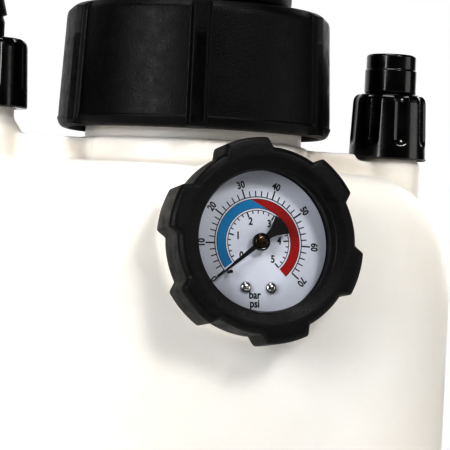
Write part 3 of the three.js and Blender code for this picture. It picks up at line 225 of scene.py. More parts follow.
def uneven_gloss(made, low, high, scale, detail=4.0, stretch=(1, 1, 1)):
    nodes, links = made.node_tree.nodes, made.node_tree.links
    band = nodes.new("ShaderNodeMapRange")
    band.inputs["From Min"].default_value = GLOSS_FROM
    band.inputs["From Max"].default_value = GLOSS_TO
    band.inputs["To Min"].default_value = low
    band.inputs["To Max"].default_value = high
    links.new(noise(made, scale, detail, stretch), band.inputs["Value"])
    links.new(band.outputs["Result"], nodes["Principled BSDF"].inputs["Roughness"])


def bumps(made, *layers):
    """Each layer is (grain per metre, height in metres) with an optional stretch."""
    nodes, links = made.node_tree.nodes, made.node_tree.links
    below = None
    for scale, height, *stretch in layers:
        bump = nodes.new("ShaderNodeBump")
        bump.inputs["Strength"].default_value = 1.0
        bump.inputs["Distance"].default_value = height
        links.new(noise(made, scale, 2.0, *stretch), bump.inputs["Height"])
        if below:
            links.new(below, bump.inputs["Normal"])
        below = bump.outputs["Normal"]
    links.new(below, nodes["Principled BSDF"].inputs["Normal"])


print("a mottle spans", MOTTLE_FROM, "to", MOTTLE_TO, "of its noise, gloss", GLOSS_FROM, "to", GLOSS_TO)

# %% [markdown]
# ### Milky polyethylene
# Natural blow-moulded polyethylene is white only because light scatters inside its wall. A
# plain white paint looks like chalk, so the shader uses subsurface scattering with a reach of some
# millimetres, nearly the same for each colour, and a warm base tints the shadows. The wall is
# slightly wavy from the mould and has a soft satin skin.

# %% polyethylene for the tank
REACH_OF_LIGHT = 4 * MM


def milky_polyethylene():
    made = finish("milky_polyethylene", Subsurface_Weight=1.0, IOR=1.5, Specular_IOR_Level=0.4)
    shader = made.node_tree.nodes["Principled BSDF"]
    shader.inputs["Subsurface Radius"].default_value = (1.0, 0.98, 0.96)
    shader.inputs["Subsurface Scale"].default_value = REACH_OF_LIGHT
    mottle(made, (0.94, 0.87, 0.81), (0.955, 0.9, 0.855), 18)
    uneven_gloss(made, 0.36, 0.5, 60)
    bumps(made, (22, 0.0012), (140, 0.00012), (1500, 0.00002))
    return made


POLYETHYLENE = milky_polyethylene()
print("made", POLYETHYLENE.name)

# %% [markdown]
# ### Black mouldings
# Two blacks are needed. The collar, ring nut and handle come from a spark-eroded mould, which
# leaves an orange-peel grain that scatters light, with faint scuffs where they are gripped. The port
# nuts come from a polished mould and stay glossy.

# %% black plastics
def grained_black(name, grain, height, low, high, specular):
    made = finish(name, IOR=1.49, Specular_IOR_Level=specular)
    mottle(made, (0.0008, 0.0008, 0.001), (0.0035, 0.0035, 0.0045), 700, 5)
    uneven_gloss(made, low, high, 260, 6)
    bumps(made, (45, 0.0003), (grain, height), (grain * 3, height * 0.35))
    return made


def polished_black():
    made = finish("polished_black", IOR=1.5, Coat_Weight=0.35, Coat_Roughness=0.08)
    mottle(made, (0.001, 0.001, 0.0013), (0.003, 0.003, 0.0035), 90)
    uneven_gloss(made, 0.14, 0.3, 180, 5)
    bumps(made, (70, 0.00015), (900, 0.000012))
    return made


COLLAR_BLACK = grained_black("collar_black", 1800, 0.00012, 0.34, 0.5, 0.3)
NUT_BLACK = grained_black("ring_nut_black", 2000, 0.00012, 0.3, 0.5, 0.36)
POLISHED_BLACK = polished_black()
print("made", COLLAR_BLACK.name, NUT_BLACK.name, POLISHED_BLACK.name)

# %% [markdown]
# ### Metals, rubber and the other plastics
# Turned metal carries fine rings, so its noise is stretched; plated steel and brass differ only in
# colour and gloss. Rubber is dull with a fine bloom. The window is nearly all see-through: a
# thin alpha keeps the dial bright, where solid glass would darken it.

# %% helpers for the remaining finishes
def turned_metal(name, low, high, smooth, rough):
    made = finish(name, metallic=1.0)
    mottle(made, low, high, 350, 4)
    uneven_gloss(made, smooth, rough, 500, 5, (1, 1, 12))
    bumps(made, (900, 0.00001, (1, 1, 8)), (120, 0.00003))
    return made


def soft_rubber():
    made = finish("seal_rubber", IOR=1.45)
    mottle(made, (0.012, 0.012, 0.012), (0.03, 0.03, 0.029), 400)
    uneven_gloss(made, 0.6, 0.85, 300)
    bumps(made, (1600, 0.00003))
    return made


def plain_plastic(name, low, high, smooth=0.35, rough=0.5):
    made = finish(name, IOR=1.48)
    mottle(made, low, high, 60)
    uneven_gloss(made, smooth, rough, 150)
    bumps(made, (1200, 0.00002), (90, 0.00012))
    return made


def see_through(name, tint, alpha, roughness):
    made = finish(name, roughness=roughness, Alpha=alpha, IOR=1.5)
    mottle(made, tint, tuple(min(1, value * 1.03) for value in tint), 40)
    uneven_gloss(made, roughness, roughness + 0.04, 80)
    bumps(made, (60, 0.00002))
    return made


# %% the remaining finishes
STEEL = turned_metal("plated_steel", (0.5, 0.5, 0.51), (0.66, 0.66, 0.67), 0.16, 0.34)
BRASS = turned_metal("brass", (0.46, 0.34, 0.16), (0.66, 0.5, 0.25), 0.22, 0.42)
RUBBER = soft_rubber()
ACETAL = plain_plastic("white_acetal", (0.78, 0.78, 0.76), (0.84, 0.84, 0.82))
BARREL_GREY = plain_plastic("barrel_grey", (0.5, 0.51, 0.52), (0.58, 0.59, 0.6))
WINDOW = see_through("window", (0.05, 0.055, 0.06), 0.06, 0.03)
BRONZE = turned_metal("dark_bronze", (0.06, 0.045, 0.03), (0.14, 0.1, 0.07), 0.2, 0.35)
TUBING = see_through("clear_tubing", (0.85, 0.87, 0.86), 0.45, 0.25)
CASE_BLACK = plain_plastic("case_enamel", (0.012, 0.012, 0.013), (0.022, 0.022, 0.024), 0.25, 0.4)
DIAL_ENAMEL = plain_plastic("dial_enamel", (0.80, 0.83, 0.93), (0.84, 0.87, 0.96), 0.4, 0.5)
NEEDLE_BLACK = plain_plastic("needle_enamel", (0.001, 0.001, 0.001), (0.003, 0.003, 0.003), 0.4, 0.5)
INK_BLACK = plain_plastic("ink_black", (0.012, 0.012, 0.014), (0.025, 0.025, 0.028), 0.5, 0.6)
INK_BLUE = plain_plastic("ink_blue", (0.01, 0.28, 0.56), (0.014, 0.32, 0.62), 0.45, 0.55)
INK_RED = plain_plastic("ink_red", (0.42, 0.004, 0.005), (0.5, 0.007, 0.008), 0.45, 0.55)
print("finishes:", len(bpy.data.materials) - 1)

# %% [markdown]
# ## Making turned pieces
# Most pieces here are round, so one helper spins an outline of radius and height into a closed mesh.
# Moulded edges are never sharp, so a second helper rounds the outline's corners first. A bend
# function lets ribs, flutes, lobes and threads push the round shape in or out.

# %% helpers for turned pieces
ON_AXIS = 1e-9


def in_metres(points):
    return [(r * MM, z * MM) for r, z in points]


def soften(outline, radius, steps=4):
    """The outline with each corner off the axis rounded."""
    rounded = []
    count = len(outline)
    for i, point in enumerate(outline):
        here = Vector(point)
        if here.x < ON_AXIS:
            rounded.append(tuple(here))
            continue
        before = Vector(outline[i - 1]) - here
        after = Vector(outline[(i + 1) % count]) - here
        reach = min(radius, 0.45 * before.length, 0.45 * after.length)
        start = here + before.normalized() * reach
        end = here + after.normalized() * reach
        for k in range(steps + 1):
            t = k / steps
            spot = start * (1 - t) ** 2 + here * 2 * t * (1 - t) + end * t * t
            rounded.append(tuple(spot))
    return rounded


def around(count):
    return [2 * math.pi * i / count for i in range(count)]


def on_circle(angle, r, z):
    return (r * math.cos(angle), r * math.sin(angle), z)


def turned(name, outline, angles=96, shape=on_circle):
    """A closed mesh spun from [radius, height] points: a ring, or a solid if it starts on the axis."""
    angles = around(angles) if isinstance(angles, int) else angles
    made = bmesh.new()
    rows = []
    for r, z in outline:
        if r < ON_AXIS:
            rows.append([made.verts.new((0, 0, z))] * len(angles))
        else:
            rows.append([made.verts.new(shape(angle, r, z)) for angle in angles])
    solid = outline[0][0] < ON_AXIS
    for low, high in zip(rows, rows[1:] + ([] if solid else rows[:1])):
        for i in range(len(angles)):
            j = (i + 1) % len(angles)
            corners = list(dict.fromkeys([low[i], low[j], high[j], high[i]]))
            if len(corners) > 2:
                made.faces.new(corners)
    bmesh.ops.recalc_face_normals(made, faces=made.faces)
    mesh = bpy.data.meshes.new(name)
    made.to_mesh(mesh)
    made.free()
    return mesh


print("a full turn has", len(around(96)), "steps unless a piece asks for more")

# %% [markdown]
# ## Placing a piece
# Each new piece rides on the body of the CAD node that it stands for, hides that node and
# takes the finish it is handed. Wrapping the calls in one function keeps those facts together.

# %% helper that puts a piece in place
SHARP_EDGE = math.radians(38)


def put(name, mesh, made_of, node, at=None, hides=True):
    if at is not None:
        mesh.transform(at)
    mesh.shade_smooth()
    mesh.set_sharp_from_angle(angle=SHARP_EDGE)
    mesh.materials.clear()
    mesh.materials.append(made_of)
    made = bpy.data.objects.new(name, mesh)
    bpy.context.collection.objects.link(made)
    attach(made, BODY_OF[node])
    if hides:
        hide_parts(node)
    print(name, "rides on", BODY_OF[node], "with", len(mesh.polygons), "faces")
    return made


def beside(x):
    return Matrix.Translation((x, 0, 0))


print("edges over", round(math.degrees(SHARP_EDGE)), "degrees stay sharp")

# %% [markdown]
# ## Joining and cutting
# The tank and the handle are one moulding each, whose parts flow into one another. Their rough
# solids are united, remeshed into an even skin and relaxed, which turns every inside corner into
# the soft fillet that a mould has. Bores are cut afterwards, so they stay crisp.

# %% helpers that join, relax and cut
def loose(mesh):
    made = bpy.data.objects.new("loose_" + mesh.name, mesh)
    bpy.context.collection.objects.link(made)
    return made


def settled(made):
    """The mesh as its modifiers leave it; the object itself is thrown away."""
    graph = bpy.context.evaluated_depsgraph_get()
    mesh = bpy.data.meshes.new_from_object(made.evaluated_get(graph))
    bpy.data.objects.remove(made)
    return mesh


def combined(mesh, others, operation):
    for other in others:
        body, tool = loose(mesh), loose(other)
        step = body.modifiers.new("combine", "BOOLEAN")
        step.operation = operation
        step.solver = "MANIFOLD"
        step.object = tool
        mesh = settled(body)
        bpy.data.objects.remove(tool)
    return mesh


def relaxed(mesh, voxel, passes):
    made = loose(mesh)
    skin = made.modifiers.new("skin", "REMESH")
    skin.mode = "VOXEL"
    skin.voxel_size = voxel
    ease = made.modifiers.new("ease", "SMOOTH")
    ease.factor = 0.5
    ease.iterations = passes
    return settled(made)


def slab(name, low, high):
    made = bmesh.new()
    bmesh.ops.create_cube(made, size=1)
    size = Vector(high) - Vector(low)
    middle = (Vector(high) + Vector(low)) / 2
    bmesh.ops.transform(made, matrix=Matrix.LocRotScale(middle, None, size), verts=made.verts)
    mesh = bpy.data.meshes.new(name)
    made.to_mesh(mesh)
    made.free()
    return mesh


# %% [markdown]
# ## The gauge's own frame
# The gauge leans back a few degrees, so its pieces are drawn flat, with +Z out of the face and +Y
# up the dial, and then moved into place by one matrix read from the joint of its ring nut.

# %% the gauge's matrix
gauge_out = Vector(JOINTS["gauge_nut_turn"]["axis"])
gauge_up = gauge_out.cross(Vector((1, 0, 0))).normalized()
gauge_axes = Matrix((Vector((1, 0, 0)), gauge_up, gauge_out)).transposed().to_4x4()
IN_GAUGE = Matrix.Translation(GAUGE_AT) @ gauge_axes
print("gauge leans back", round(math.degrees(math.asin(gauge_out.z)), 1), "degrees")

# %% [markdown]
# ## The tank
# The tank's plan is a superellipse, squarer than an oval, with a domed shoulder. A round
# pedestal under the pump, three webs, two port columns and the gauge's boss grow out of it. They
# overlap here as plain solids, and the shared skin gives them the fillets of a blow moulding.

# %% the tank's outline
TANK_HIGH = Vector(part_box("tank")[1])
HALF_WIDTH = TANK_HIGH.x
HALF_DEPTH = TANK_HIGH.y
RELIEF_X = JOINTS["relief_nut_turn"]["pos_m"][0]
OUTLET_X = JOINTS["outlet_nut_turn"]["pos_m"][0]
WALL = 3 * MM
FOOT_R = 14 * MM
PUSH_UP = 1.6 * MM
SHOULDER_RUN, SHOULDER_DROP = 30 * MM, 44 * MM
OVAL_POWER = 0.8


def quarter(r, z, run, rise, steps):
    turns = [math.pi / 2 * i / steps for i in range(steps + 1)]
    return [(r + run * math.cos(turn), z + rise * math.sin(turn)) for turn in turns]


def oval(angle, r, z):
    def drawn(value):
        return math.copysign(abs(value) ** OVAL_POWER, value)

    return (r * drawn(math.cos(angle)), r * drawn(math.sin(angle)) * HALF_DEPTH / HALF_WIDTH, z)


def tank_body(inset):
    half, foot, run, drop = HALF_WIDTH - inset, FOOT_R - inset, SHOULDER_RUN, SHOULDER_DROP
    top = DECK - inset
    push_up = 0 if inset else PUSH_UP
    base = [(0, inset + push_up), (half - 32 * MM, inset + push_up), (half - 20 * MM, inset)]
    foot_arc = quarter(half - foot, inset + foot, foot, -foot, 10)[::-1]
    shoulder = quarter(half - run, top - drop, run, drop, 24)
    return turned("tank_body", base + foot_arc + shoulder + [(0, top)], 200, oval)


print("tank", round(2 * HALF_WIDTH / MM), "by", round(2 * HALF_DEPTH / MM), "mm, deck at", round(DECK / MM))

# %% the tank's solids
COLUMN_R, PORT_NECK_R, PORT_BORE_R = 12.5 * MM, 10.2 * MM, 8 * MM
PEDESTAL_R, NECK_BORE_R = 42.4 * MM, 36.8 * MM
GAUGE_BORE_R, GAUGE_BORE_DEPTH = 26.1 * MM, 33.3 * MM


def port_solid(x, column_top, neck_top):
    outline = [
        (0, DECK - SHOULDER_DROP),
        (COLUMN_R, DECK - SHOULDER_DROP),
        (COLUMN_R, column_top - 1.2 * MM),
        (11.6 * MM, column_top),
        (PORT_NECK_R, column_top + 0.2 * MM),
        (PORT_NECK_R, neck_top),
        (0, neck_top),
    ]
    mesh = turned("port", outline)
    mesh.transform(beside(x))
    return mesh


RELIEF_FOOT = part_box("relief_nut")[0][2]
OUTLET_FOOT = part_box("outlet_nut")[0][2]
NECK_IN_NUT = 16 * MM
PEDESTAL_TOP = DECK + PEDESTAL_HEIGHT
WEB_TOP = DECK + 8.8 * MM
WEB_HALF_DEPTH = 9 * MM


def boss_solid():
    outline = [(0, -40), (31.5, -40), (30.4, -19), (29.6, -17), (28.2, -16.4), (28.2, -9.8), (0, -9.8)]
    mesh = turned("boss", in_metres(outline), 128)
    mesh.transform(IN_GAUGE)
    return mesh


def tank_outside():
    low = DECK - 4 * MM
    deep = WEB_HALF_DEPTH
    drum = [(0, low), (PEDESTAL_R, low), (PEDESTAL_R, PEDESTAL_TOP), (0, PEDESTAL_TOP)]
    solids = [
        turned("pedestal", drum, 128),
        slab("web_left", (OUTLET_X, -deep, low), (0, deep, WEB_TOP)),
        slab("web_right", (0, -deep, low), (RELIEF_X - 16 * MM, deep, WEB_TOP)),
        slab("web_low", (0, -deep, low), (RELIEF_X, deep, RELIEF_FOOT - 1.3 * MM)),
        port_solid(RELIEF_X, RELIEF_FOOT - 0.3 * MM, RELIEF_FOOT + NECK_IN_NUT),
        port_solid(OUTLET_X, OUTLET_FOOT - 5.2 * MM, OUTLET_FOOT + NECK_IN_NUT),
        boss_solid(),
    ]
    return relaxed(combined(tank_body(0), solids, "UNION"), voxel=1.25 * MM, passes=7)


# %% the hollow inside
def bore(r, low, high, at):
    mesh = turned("bore", [(0, low), (r, low), (r, high), (0, high)])
    mesh.transform(at)
    return mesh


def tank_hollows():
    low, high = DECK - 22 * MM, DECK + 60 * MM
    return [
        tank_body(WALL),
        bore(NECK_BORE_R, low, high, Matrix()),
        bore(PORT_BORE_R, low, high, beside(RELIEF_X)),
        bore(PORT_BORE_R, low, high, beside(OUTLET_X)),
        bore(GAUGE_BORE_R, -GAUGE_BORE_DEPTH, 0, IN_GAUGE),
    ]


shell = combined(tank_outside(), tank_hollows(), "DIFFERENCE")
put("tank_shell", shell, POLYETHYLENE, "tank")

# %% [markdown]
# ### The threaded neck
# The wide neck carries a real screw thread. The ridge is a helix, so the bend function raises the
# neck's wall wherever its height, less its share of one turn, falls on a crest.

# %% the pump's neck
PITCH = 6 * MM
CREST_SHARE = 0.22
THREAD_PROUD, THREAD_LENGTH, THREAD_FADE = 0.9 * MM, 25 * MM, 3 * MM
NECK_R = 39.8 * MM
RIM = TANK_HIGH.z


def threaded(angle, r, z):
    turn = ((z - RIM) / PITCH - angle / (2 * math.pi)) % 1.0
    crest = max(0.0, 1 - abs(turn - 0.5) / CREST_SHARE)
    from_top, from_foot = (RIM - z) / THREAD_FADE, (z - RIM + THREAD_LENGTH) / THREAD_FADE
    fade = min(1, max(0, from_top) * max(0, from_foot))
    lift = THREAD_PROUD * min(1, crest * 1.6) * fade if r > NECK_R - 0.2 * MM else 0
    return on_circle(angle, r + lift, z)


def neck_outline():
    low = PEDESTAL_TOP - 1.5 * MM
    rows = 84
    wall = [(NECK_R, low + (RIM - 0.7 * MM - low) * i / rows) for i in range(rows + 1)]
    lip = [(NECK_R - 0.7 * MM, RIM), (37.2 * MM, RIM), (NECK_BORE_R, RIM - 0.4 * MM)]
    return wall + lip + [(NECK_BORE_R, low)]


put("tank_neck", turned("tank_neck", neck_outline(), 160, threaded), POLYETHYLENE, "tank", hides=False)

# %% [markdown]
# ### The parting line
# Where the two halves of the mould meet, a blow moulding keeps a fine raised line. It runs up both
# narrow sides, and a thin bevelled curve sunk into the wall makes it.

# %% the mould's parting line
LINE_R, LINE_SUNK = 0.33 * MM, 0.35 * MM


def parting_line():
    half, foot = HALF_WIDTH - LINE_SUNK, FOOT_R
    side = quarter(half - foot, foot, foot, -foot, 8)[::-1]
    side += quarter(half - SHOULDER_RUN, DECK - SHOULDER_DROP, SHOULDER_RUN, SHOULDER_DROP, 14)[:11]
    curve = bpy.data.curves.new("parting_line", "CURVE")
    curve.dimensions = "3D"
    curve.bevel_depth = LINE_R
    for hand in (-1, 1):
        line = curve.splines.new("POLY")
        line.points.add(len(side) - 1)
        for point, (r, z) in zip(line.points, side):
            point.co = (hand * r, 0, max(z, 0.4 * MM), 1)
    return settled(loose(curve))


put("tank_parting_line", parting_line(), POLYETHYLENE, "tank", hides=False)

# %% [markdown]
# ## The pump collar
# The big collar is a gently tapered drum with a chamfered foot and six upright ribs for
# the hand. The ribs run down over the chamfer, so their faces stand upright there. Angles
# are set close together beside each rib and far apart elsewhere, which keeps the mesh light.

# %% the collar
COLLAR_FOOT, COLLAR_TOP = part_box("pump_collar")[0][2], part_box("pump_collar")[1][2]
COLLAR_R = 50.2 * MM
TAPER = 2.1 * MM
RIB_ANGLES = [math.radians(-90 - 17.3 + 60 * i) for i in range(6)]
RIB_HALF, RIB_EDGE, RIB_PROUD = 3.1 * MM, 0.8 * MM, 1.45 * MM
NEAR_COLLAR_R = 50 * MM


def near(centres, half_width, edge, spread=120):
    """Angles for a turned piece, packed closely at both edges of each feature."""
    angles = around(spread)
    for centre in centres:
        for side in (-1, 1):
            angles += [(centre + side * half_width + edge * k / 4) % (2 * math.pi) for k in range(-6, 7)]
    return sorted(set(round(angle, 6) for angle in angles))


def swell(distance, half_width, edge):
    """1 inside half_width, 0 outside, with a smooth edge."""
    t = min(1, max(0, (half_width + edge - distance) / (2 * edge)))
    return t * t * (3 - 2 * t)


def apart(a, b):
    return abs((a - b + math.pi) % (2 * math.pi) - math.pi)


def ribbed(angle, r, z):
    if r < 44.5 * MM or not COLLAR_FOOT + 0.5 * MM < z < COLLAR_TOP - 1.5 * MM:
        return on_circle(angle, r, z)
    face = COLLAR_R - TAPER * (z - COLLAR_FOOT) / (COLLAR_TOP - COLLAR_FOOT) + RIB_PROUD
    rib = max(swell(apart(angle, centre) * face, RIB_HALF, RIB_EDGE) for centre in RIB_ANGLES)
    return on_circle(angle, r + (face - r) * rib, z)


def collar_outline():
    foot, top, r = COLLAR_FOOT, COLLAR_TOP, COLLAR_R
    outline = [
        (41.4 * MM, foot + 2 * MM),
        (44 * MM, foot + 2 * MM),
        (44 * MM, top - 12 * MM),
        (r - 5 * MM, top - 12 * MM),
        (r - 4 * MM, foot + 3 * MM),
        (r - 4 * MM, foot),
        (r - 3 * MM, foot),
        (r - 1.5 * MM, foot + 0.5 * MM),
        (r - 0.6 * MM, foot + 1.5 * MM),
        (r - 0.1 * MM, foot + 2.8 * MM),
        (r + 0.1 * MM, foot + 3.4 * MM),
        (r + 0.05 * MM, foot + 3.9 * MM),
        (r - 0.25 * MM, foot + 4.2 * MM),
        (r - 0.35 * MM, foot + 8 * MM),
        (r - TAPER + 0.2 * MM, top - 4 * MM),
        (r - TAPER - 0.1 * MM, top - 2.6 * MM),
        (r - TAPER - 2.8 * MM, top),
        (37 * MM, top),
        (36 * MM, top - 1 * MM),
        (31 * MM, top - 1 * MM),
        (31 * MM, top - 4.6 * MM),
        (41.4 * MM, top - 4.6 * MM),
    ]
    return soften(outline, 1.1 * MM)


collar_angles = near(RIB_ANGLES, RIB_HALF / NEAR_COLLAR_R, RIB_EDGE / NEAR_COLLAR_R, 144)
put("collar", turned("collar", collar_outline(), collar_angles, ribbed), COLLAR_BLACK, "pump_collar")

# %% [markdown]
# ## The port nuts
# Both ports carry the same nut: slightly conical, with a round shoulder and eight shallow flutes
# that open at the top and end in a half circle near the foot. A flute's depth follows the circle
# of the cutter that would make it.

# %% the fluted nuts
NUT_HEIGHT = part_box("relief_nut")[1][2] - RELIEF_FOOT
FLUTES = [math.radians(-90 - 4 + 45 * i) for i in range(8)]
CUTTER_R, FLUTE_DEPTH, FLUTE_END = 4.5 * MM, 1.05 * MM, 7.9 * MM


def fluted(angle, r, z):
    if r < 10.8 * MM or z > NUT_HEIGHT - 0.4 * MM and r < 11.4 * MM:
        return on_circle(angle, r, z)
    across = min(apart(angle, centre) for centre in FLUTES) * r
    short = max(0, FLUTE_END - z)
    away = math.hypot(across, short)
    depth = math.sqrt(max(0, CUTTER_R**2 - away**2)) - (CUTTER_R - FLUTE_DEPTH)
    return on_circle(angle, r - max(0, depth), z)


def nut_mesh(hole):
    tall = NUT_HEIGHT / MM
    rows = [(14.8 - 0.85 * i / 40, 0.5 + (tall - 3.5) * i / 40) for i in range(41)]
    bend = quarter(10.95 * MM, NUT_HEIGHT - 2.7 * MM, 2.9 * MM, 2.7 * MM, 10)
    shoulder = [(r / MM, z / MM) for r, z in bend]
    inside = [(hole, tall), (hole, tall - 4), (11.1, tall - 4), (11.1, 0), (14.3, 0)]
    angles = near(FLUTES, 2.84 / 14, 0.5 / 14, 96)
    return turned("nut", in_metres(rows + shoulder + inside), angles, fluted)


put("relief_nut_fluted", nut_mesh(2.7), POLISHED_BLACK, "relief_nut",
    Matrix.Translation((RELIEF_X, 0, RELIEF_FOOT)))
put("outlet_nut_fluted", nut_mesh(5.8), POLISHED_BLACK, "outlet_nut",
    Matrix.Translation((OUTLET_X, 0, OUTLET_FOOT)))

# %% [markdown]
# ### The relief knob and the hose tail
# The knob is a plain drum that steps in to a narrower top band. The hose tail is a tube with
# three saw-tooth barbs that hold a hose once it is pushed on.

# %% the knob and the tail
def knob_mesh():
    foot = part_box("relief_knob")[0][2]
    tall = (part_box("relief_knob")[1][2] - foot) / MM
    band = [(0, tall), (8.9, tall), (9.5, tall - 0.6), (9.5, tall - 5.4)]
    drum = [(9.55, tall - 5.7), (9.9, tall - 6.1), (9.9, 0.6), (9.4, 0), (2.8, 0), (2.8, 5), (0, 5)]
    outline = soften(in_metres(band + drum), 0.35 * MM)
    return turned("knob", [(r, z + foot) for r, z in outline])


def tail_mesh():
    low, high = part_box("hose_tail")[0][2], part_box("hose_tail")[1][2]
    crest, root, hole = 6.1 * MM, 4.7 * MM, 2.5 * MM
    outline = [(hole, low), (3 * MM, low), (3 * MM, low + 12 * MM), (10.5 * MM, low + 12 * MM),
               (10.5 * MM, low + 13.3 * MM), (5.4 * MM, low + 13.3 * MM), (5.4 * MM, high - 24 * MM)]
    for i in range(3):
        foot = high - 22 * MM + i * 7 * MM
        outline += [(root, foot), (crest, foot + 0.6 * MM), (root, foot + 6.4 * MM)]
    outline += [(3.9 * MM, high), (hole, high)]
    return turned("tail", soften(outline, 0.3 * MM, 3))


put("relief_knob_stepped", knob_mesh(), POLISHED_BLACK, "relief_knob", beside(RELIEF_X))
put("hose_tail_barbed", tail_mesh(), COLLAR_BLACK, "hose_tail", beside(OUTLET_X))

# %% [markdown]
# ## The gauge's ring nut
# Six broad lobes let a hand turn this nut. Its outline is a circle whose radius swells at each
# lobe, and its front is a shallow dish that leads the eye in to the window. Inside it is bored
# out for the neck, so it is modelled as a true ring, right to the back.

# %% the lobed nut
LOBES = [math.radians(90 + 12.5 + 60 * i) for i in range(6)]
LOBE_R, GAP_R = 34.4 * MM, 31.3 * MM
LOBE_HALF, LOBE_EDGE = math.radians(14.2), math.radians(2.6)


def lobed(angle, r, z):
    if r < 29.9 * MM:
        return on_circle(angle, r, z)
    nearest = min(apart(angle, centre) for centre in LOBES)
    edge = GAP_R + (LOBE_R - GAP_R) * swell(nearest, LOBE_HALF, LOBE_EDGE)
    return on_circle(angle, r - LOBE_R + edge, z)


def ring_nut_outline():
    r = LOBE_R
    points = [(23.2, -4.2), (24.2, -1.2), (24.5, -0.95), (27.6, -0.05), (28.6, 0)]
    outline = in_metres(points)
    outline += [(r - 1.6 * MM, 0), (r, -1.3 * MM), (r, -14.8 * MM), (r - 1.1 * MM, -16 * MM)]
    outline += [(29.4 * MM, -16 * MM), (29.4 * MM, -4.2 * MM)]
    return soften(outline, 0.9 * MM, 5)


ring_nut = turned("ring_nut", ring_nut_outline(), near(LOBES, LOBE_HALF, LOBE_EDGE, 180), lobed)
put("gauge_ring_nut", ring_nut, NUT_BLACK, "gauge_nut", IN_GAUGE)

# %% [markdown]
# ## The dial
# The dial is printed metal. Each printed mark is a very thin closed solid lying on the enamel,
# which keeps the print crisp at any distance and lets it leave Blender as plain geometry. One
# helper lays a strip between two rows of points, and every tick, circle and coloured band comes
# from it.

# %% helpers for printed marks
DIAL_FACE = -10.4 * MM
INK = 0.04 * MM


def polar(r, degrees):
    """A point on the dial, clockwise from the top, with r in millimetres."""
    turn = math.radians(degrees)
    return Vector((r * MM * math.sin(turn), r * MM * math.cos(turn), 0))


def strip(ink, inner, outer):
    layers = []
    for height in (DIAL_FACE + INK / 4, DIAL_FACE + INK):
        lift = Vector((0, 0, height))
        layers.append([[ink.verts.new(p + lift) for p in row] for row in (inner, outer)])
    (low_in, low_out), (high_in, high_out) = layers
    last = len(inner) - 1
    for i in range(last):
        for a, b in ((low_in, low_out), (low_out, high_out), (high_out, high_in), (high_in, low_in)):
            ink.faces.new((a[i], b[i], b[i + 1], a[i + 1]))
    for i in (0, last):
        ink.faces.new((low_in[i], low_out[i], high_out[i], high_in[i]))


def arc(ink, r_in, r_out, start, end, start_out=None, end_out=None, steps=90):
    start_out = start if start_out is None else start_out
    end_out = end if end_out is None else end_out
    shares = [i / steps for i in range(steps + 1)]
    inner = [polar(r_in, start + (end - start) * t) for t in shares]
    outer = [polar(r_out, start_out + (end_out - start_out) * t) for t in shares]
    strip(ink, inner, outer)


def tick(ink, r_in, r_out, degrees, width):
    across = polar(width / 2, degrees + 90)
    strip(ink, [polar(r_in, degrees) - across, polar(r_in, degrees) + across],
          [polar(r_out, degrees) - across, polar(r_out, degrees) + across])


def printed(name, ink, made_of):
    bmesh.ops.recalc_face_normals(ink, faces=ink.faces)
    mesh = bpy.data.meshes.new(name)
    ink.to_mesh(mesh)
    ink.free()
    return put(name, mesh, made_of, "gauge_dial", IN_GAUGE, hides=False)


print("ink is", INK / MM, "mm thick on a face", -DIAL_FACE / MM, "mm behind the ring nut's front")

# %% lettering
CAPITAL_SHARE = 0.72
LETTER_WIDTH = 0.84
LETTER_WEIGHT = 0.085 * MM


def lettering(ink, words, height, spot, turn=0.0):
    data = bpy.data.curves.new("letters", "FONT")
    data.body = words
    data.size = height * MM / CAPITAL_SHARE
    data.align_x = "CENTER"
    data.align_y = "CENTER"
    data.extrude = INK / 3
    data.resolution_u = 3
    data.offset = LETTER_WEIGHT
    mesh = settled(loose(data))
    mesh.transform(Matrix.Diagonal((LETTER_WIDTH, 1, 1, 1)))
    lift = Vector((0, 0, DIAL_FACE + INK * 0.7))
    mesh.transform(Matrix.Translation(spot + lift) @ Matrix.Rotation(turn, 4, "Z"))
    ink.from_mesh(mesh)


print("letters are", LETTER_WIDTH, "of their drawn width")

# %% print the dial
ZERO = -129.0
PER_PSI = 258.0 / 70
PER_BAR = PER_PSI * 14.504
FULL = ZERO + 5 * PER_BAR
MAJOR_WIDTH, MINOR_WIDTH = 0.44, 0.33


def psi_scale():
    ink = bmesh.new()
    arc(ink, 15.28, 15.55, ZERO, 129)
    for psi in range(0, 71, 2):
        degrees = ZERO + psi * PER_PSI
        major = psi % 10 == 0
        tick(ink, 15.5, 18.6 if major else 17.4, degrees, MAJOR_WIDTH if major else MINOR_WIDTH)
        if major:
            lettering(ink, str(psi), 2.4, polar(20.0, degrees), -math.radians(degrees))
    return ink


def bar_scale():
    ink = bmesh.new()
    arc(ink, 10.75, 10.95, ZERO, FULL)
    for fifth in range(0, 26):
        degrees = ZERO + fifth / 5 * PER_BAR
        major = fifth % 5 == 0
        tick(ink, 9.0 if major else 9.8, 10.8, degrees, MAJOR_WIDTH if major else MINOR_WIDTH)
        if major:
            lettering(ink, str(fifth // 5), 2.5, polar(7.5, degrees * 0.985))
    return ink


def units():
    ink = bmesh.new()
    lettering(ink, "bar", 2.7, Vector((-1.2 * MM, -17.6 * MM, 0)))
    lettering(ink, "psi", 2.7, Vector((-1.2 * MM, -20.5 * MM, 0)))
    for edge in (11.5, 14.6):
        arc(ink, edge, edge + 0.16, ZERO + 2, FULL)
    return ink


def band(colour_from, colour_to, from_out, to_out):
    ink = bmesh.new()
    arc(ink, 11.66, 14.6, colour_from, colour_to, from_out, to_out)
    return ink


printed("psi_scale", psi_scale(), INK_BLACK)
printed("bar_scale", bar_scale(), INK_BLACK)
printed("unit_names", units(), INK_BLACK)
printed("safe_band", band(ZERO + 2, 19, ZERO + 2, -10), INK_BLUE)
printed("high_band", band(19.3, FULL, -9.7, FULL), INK_RED)

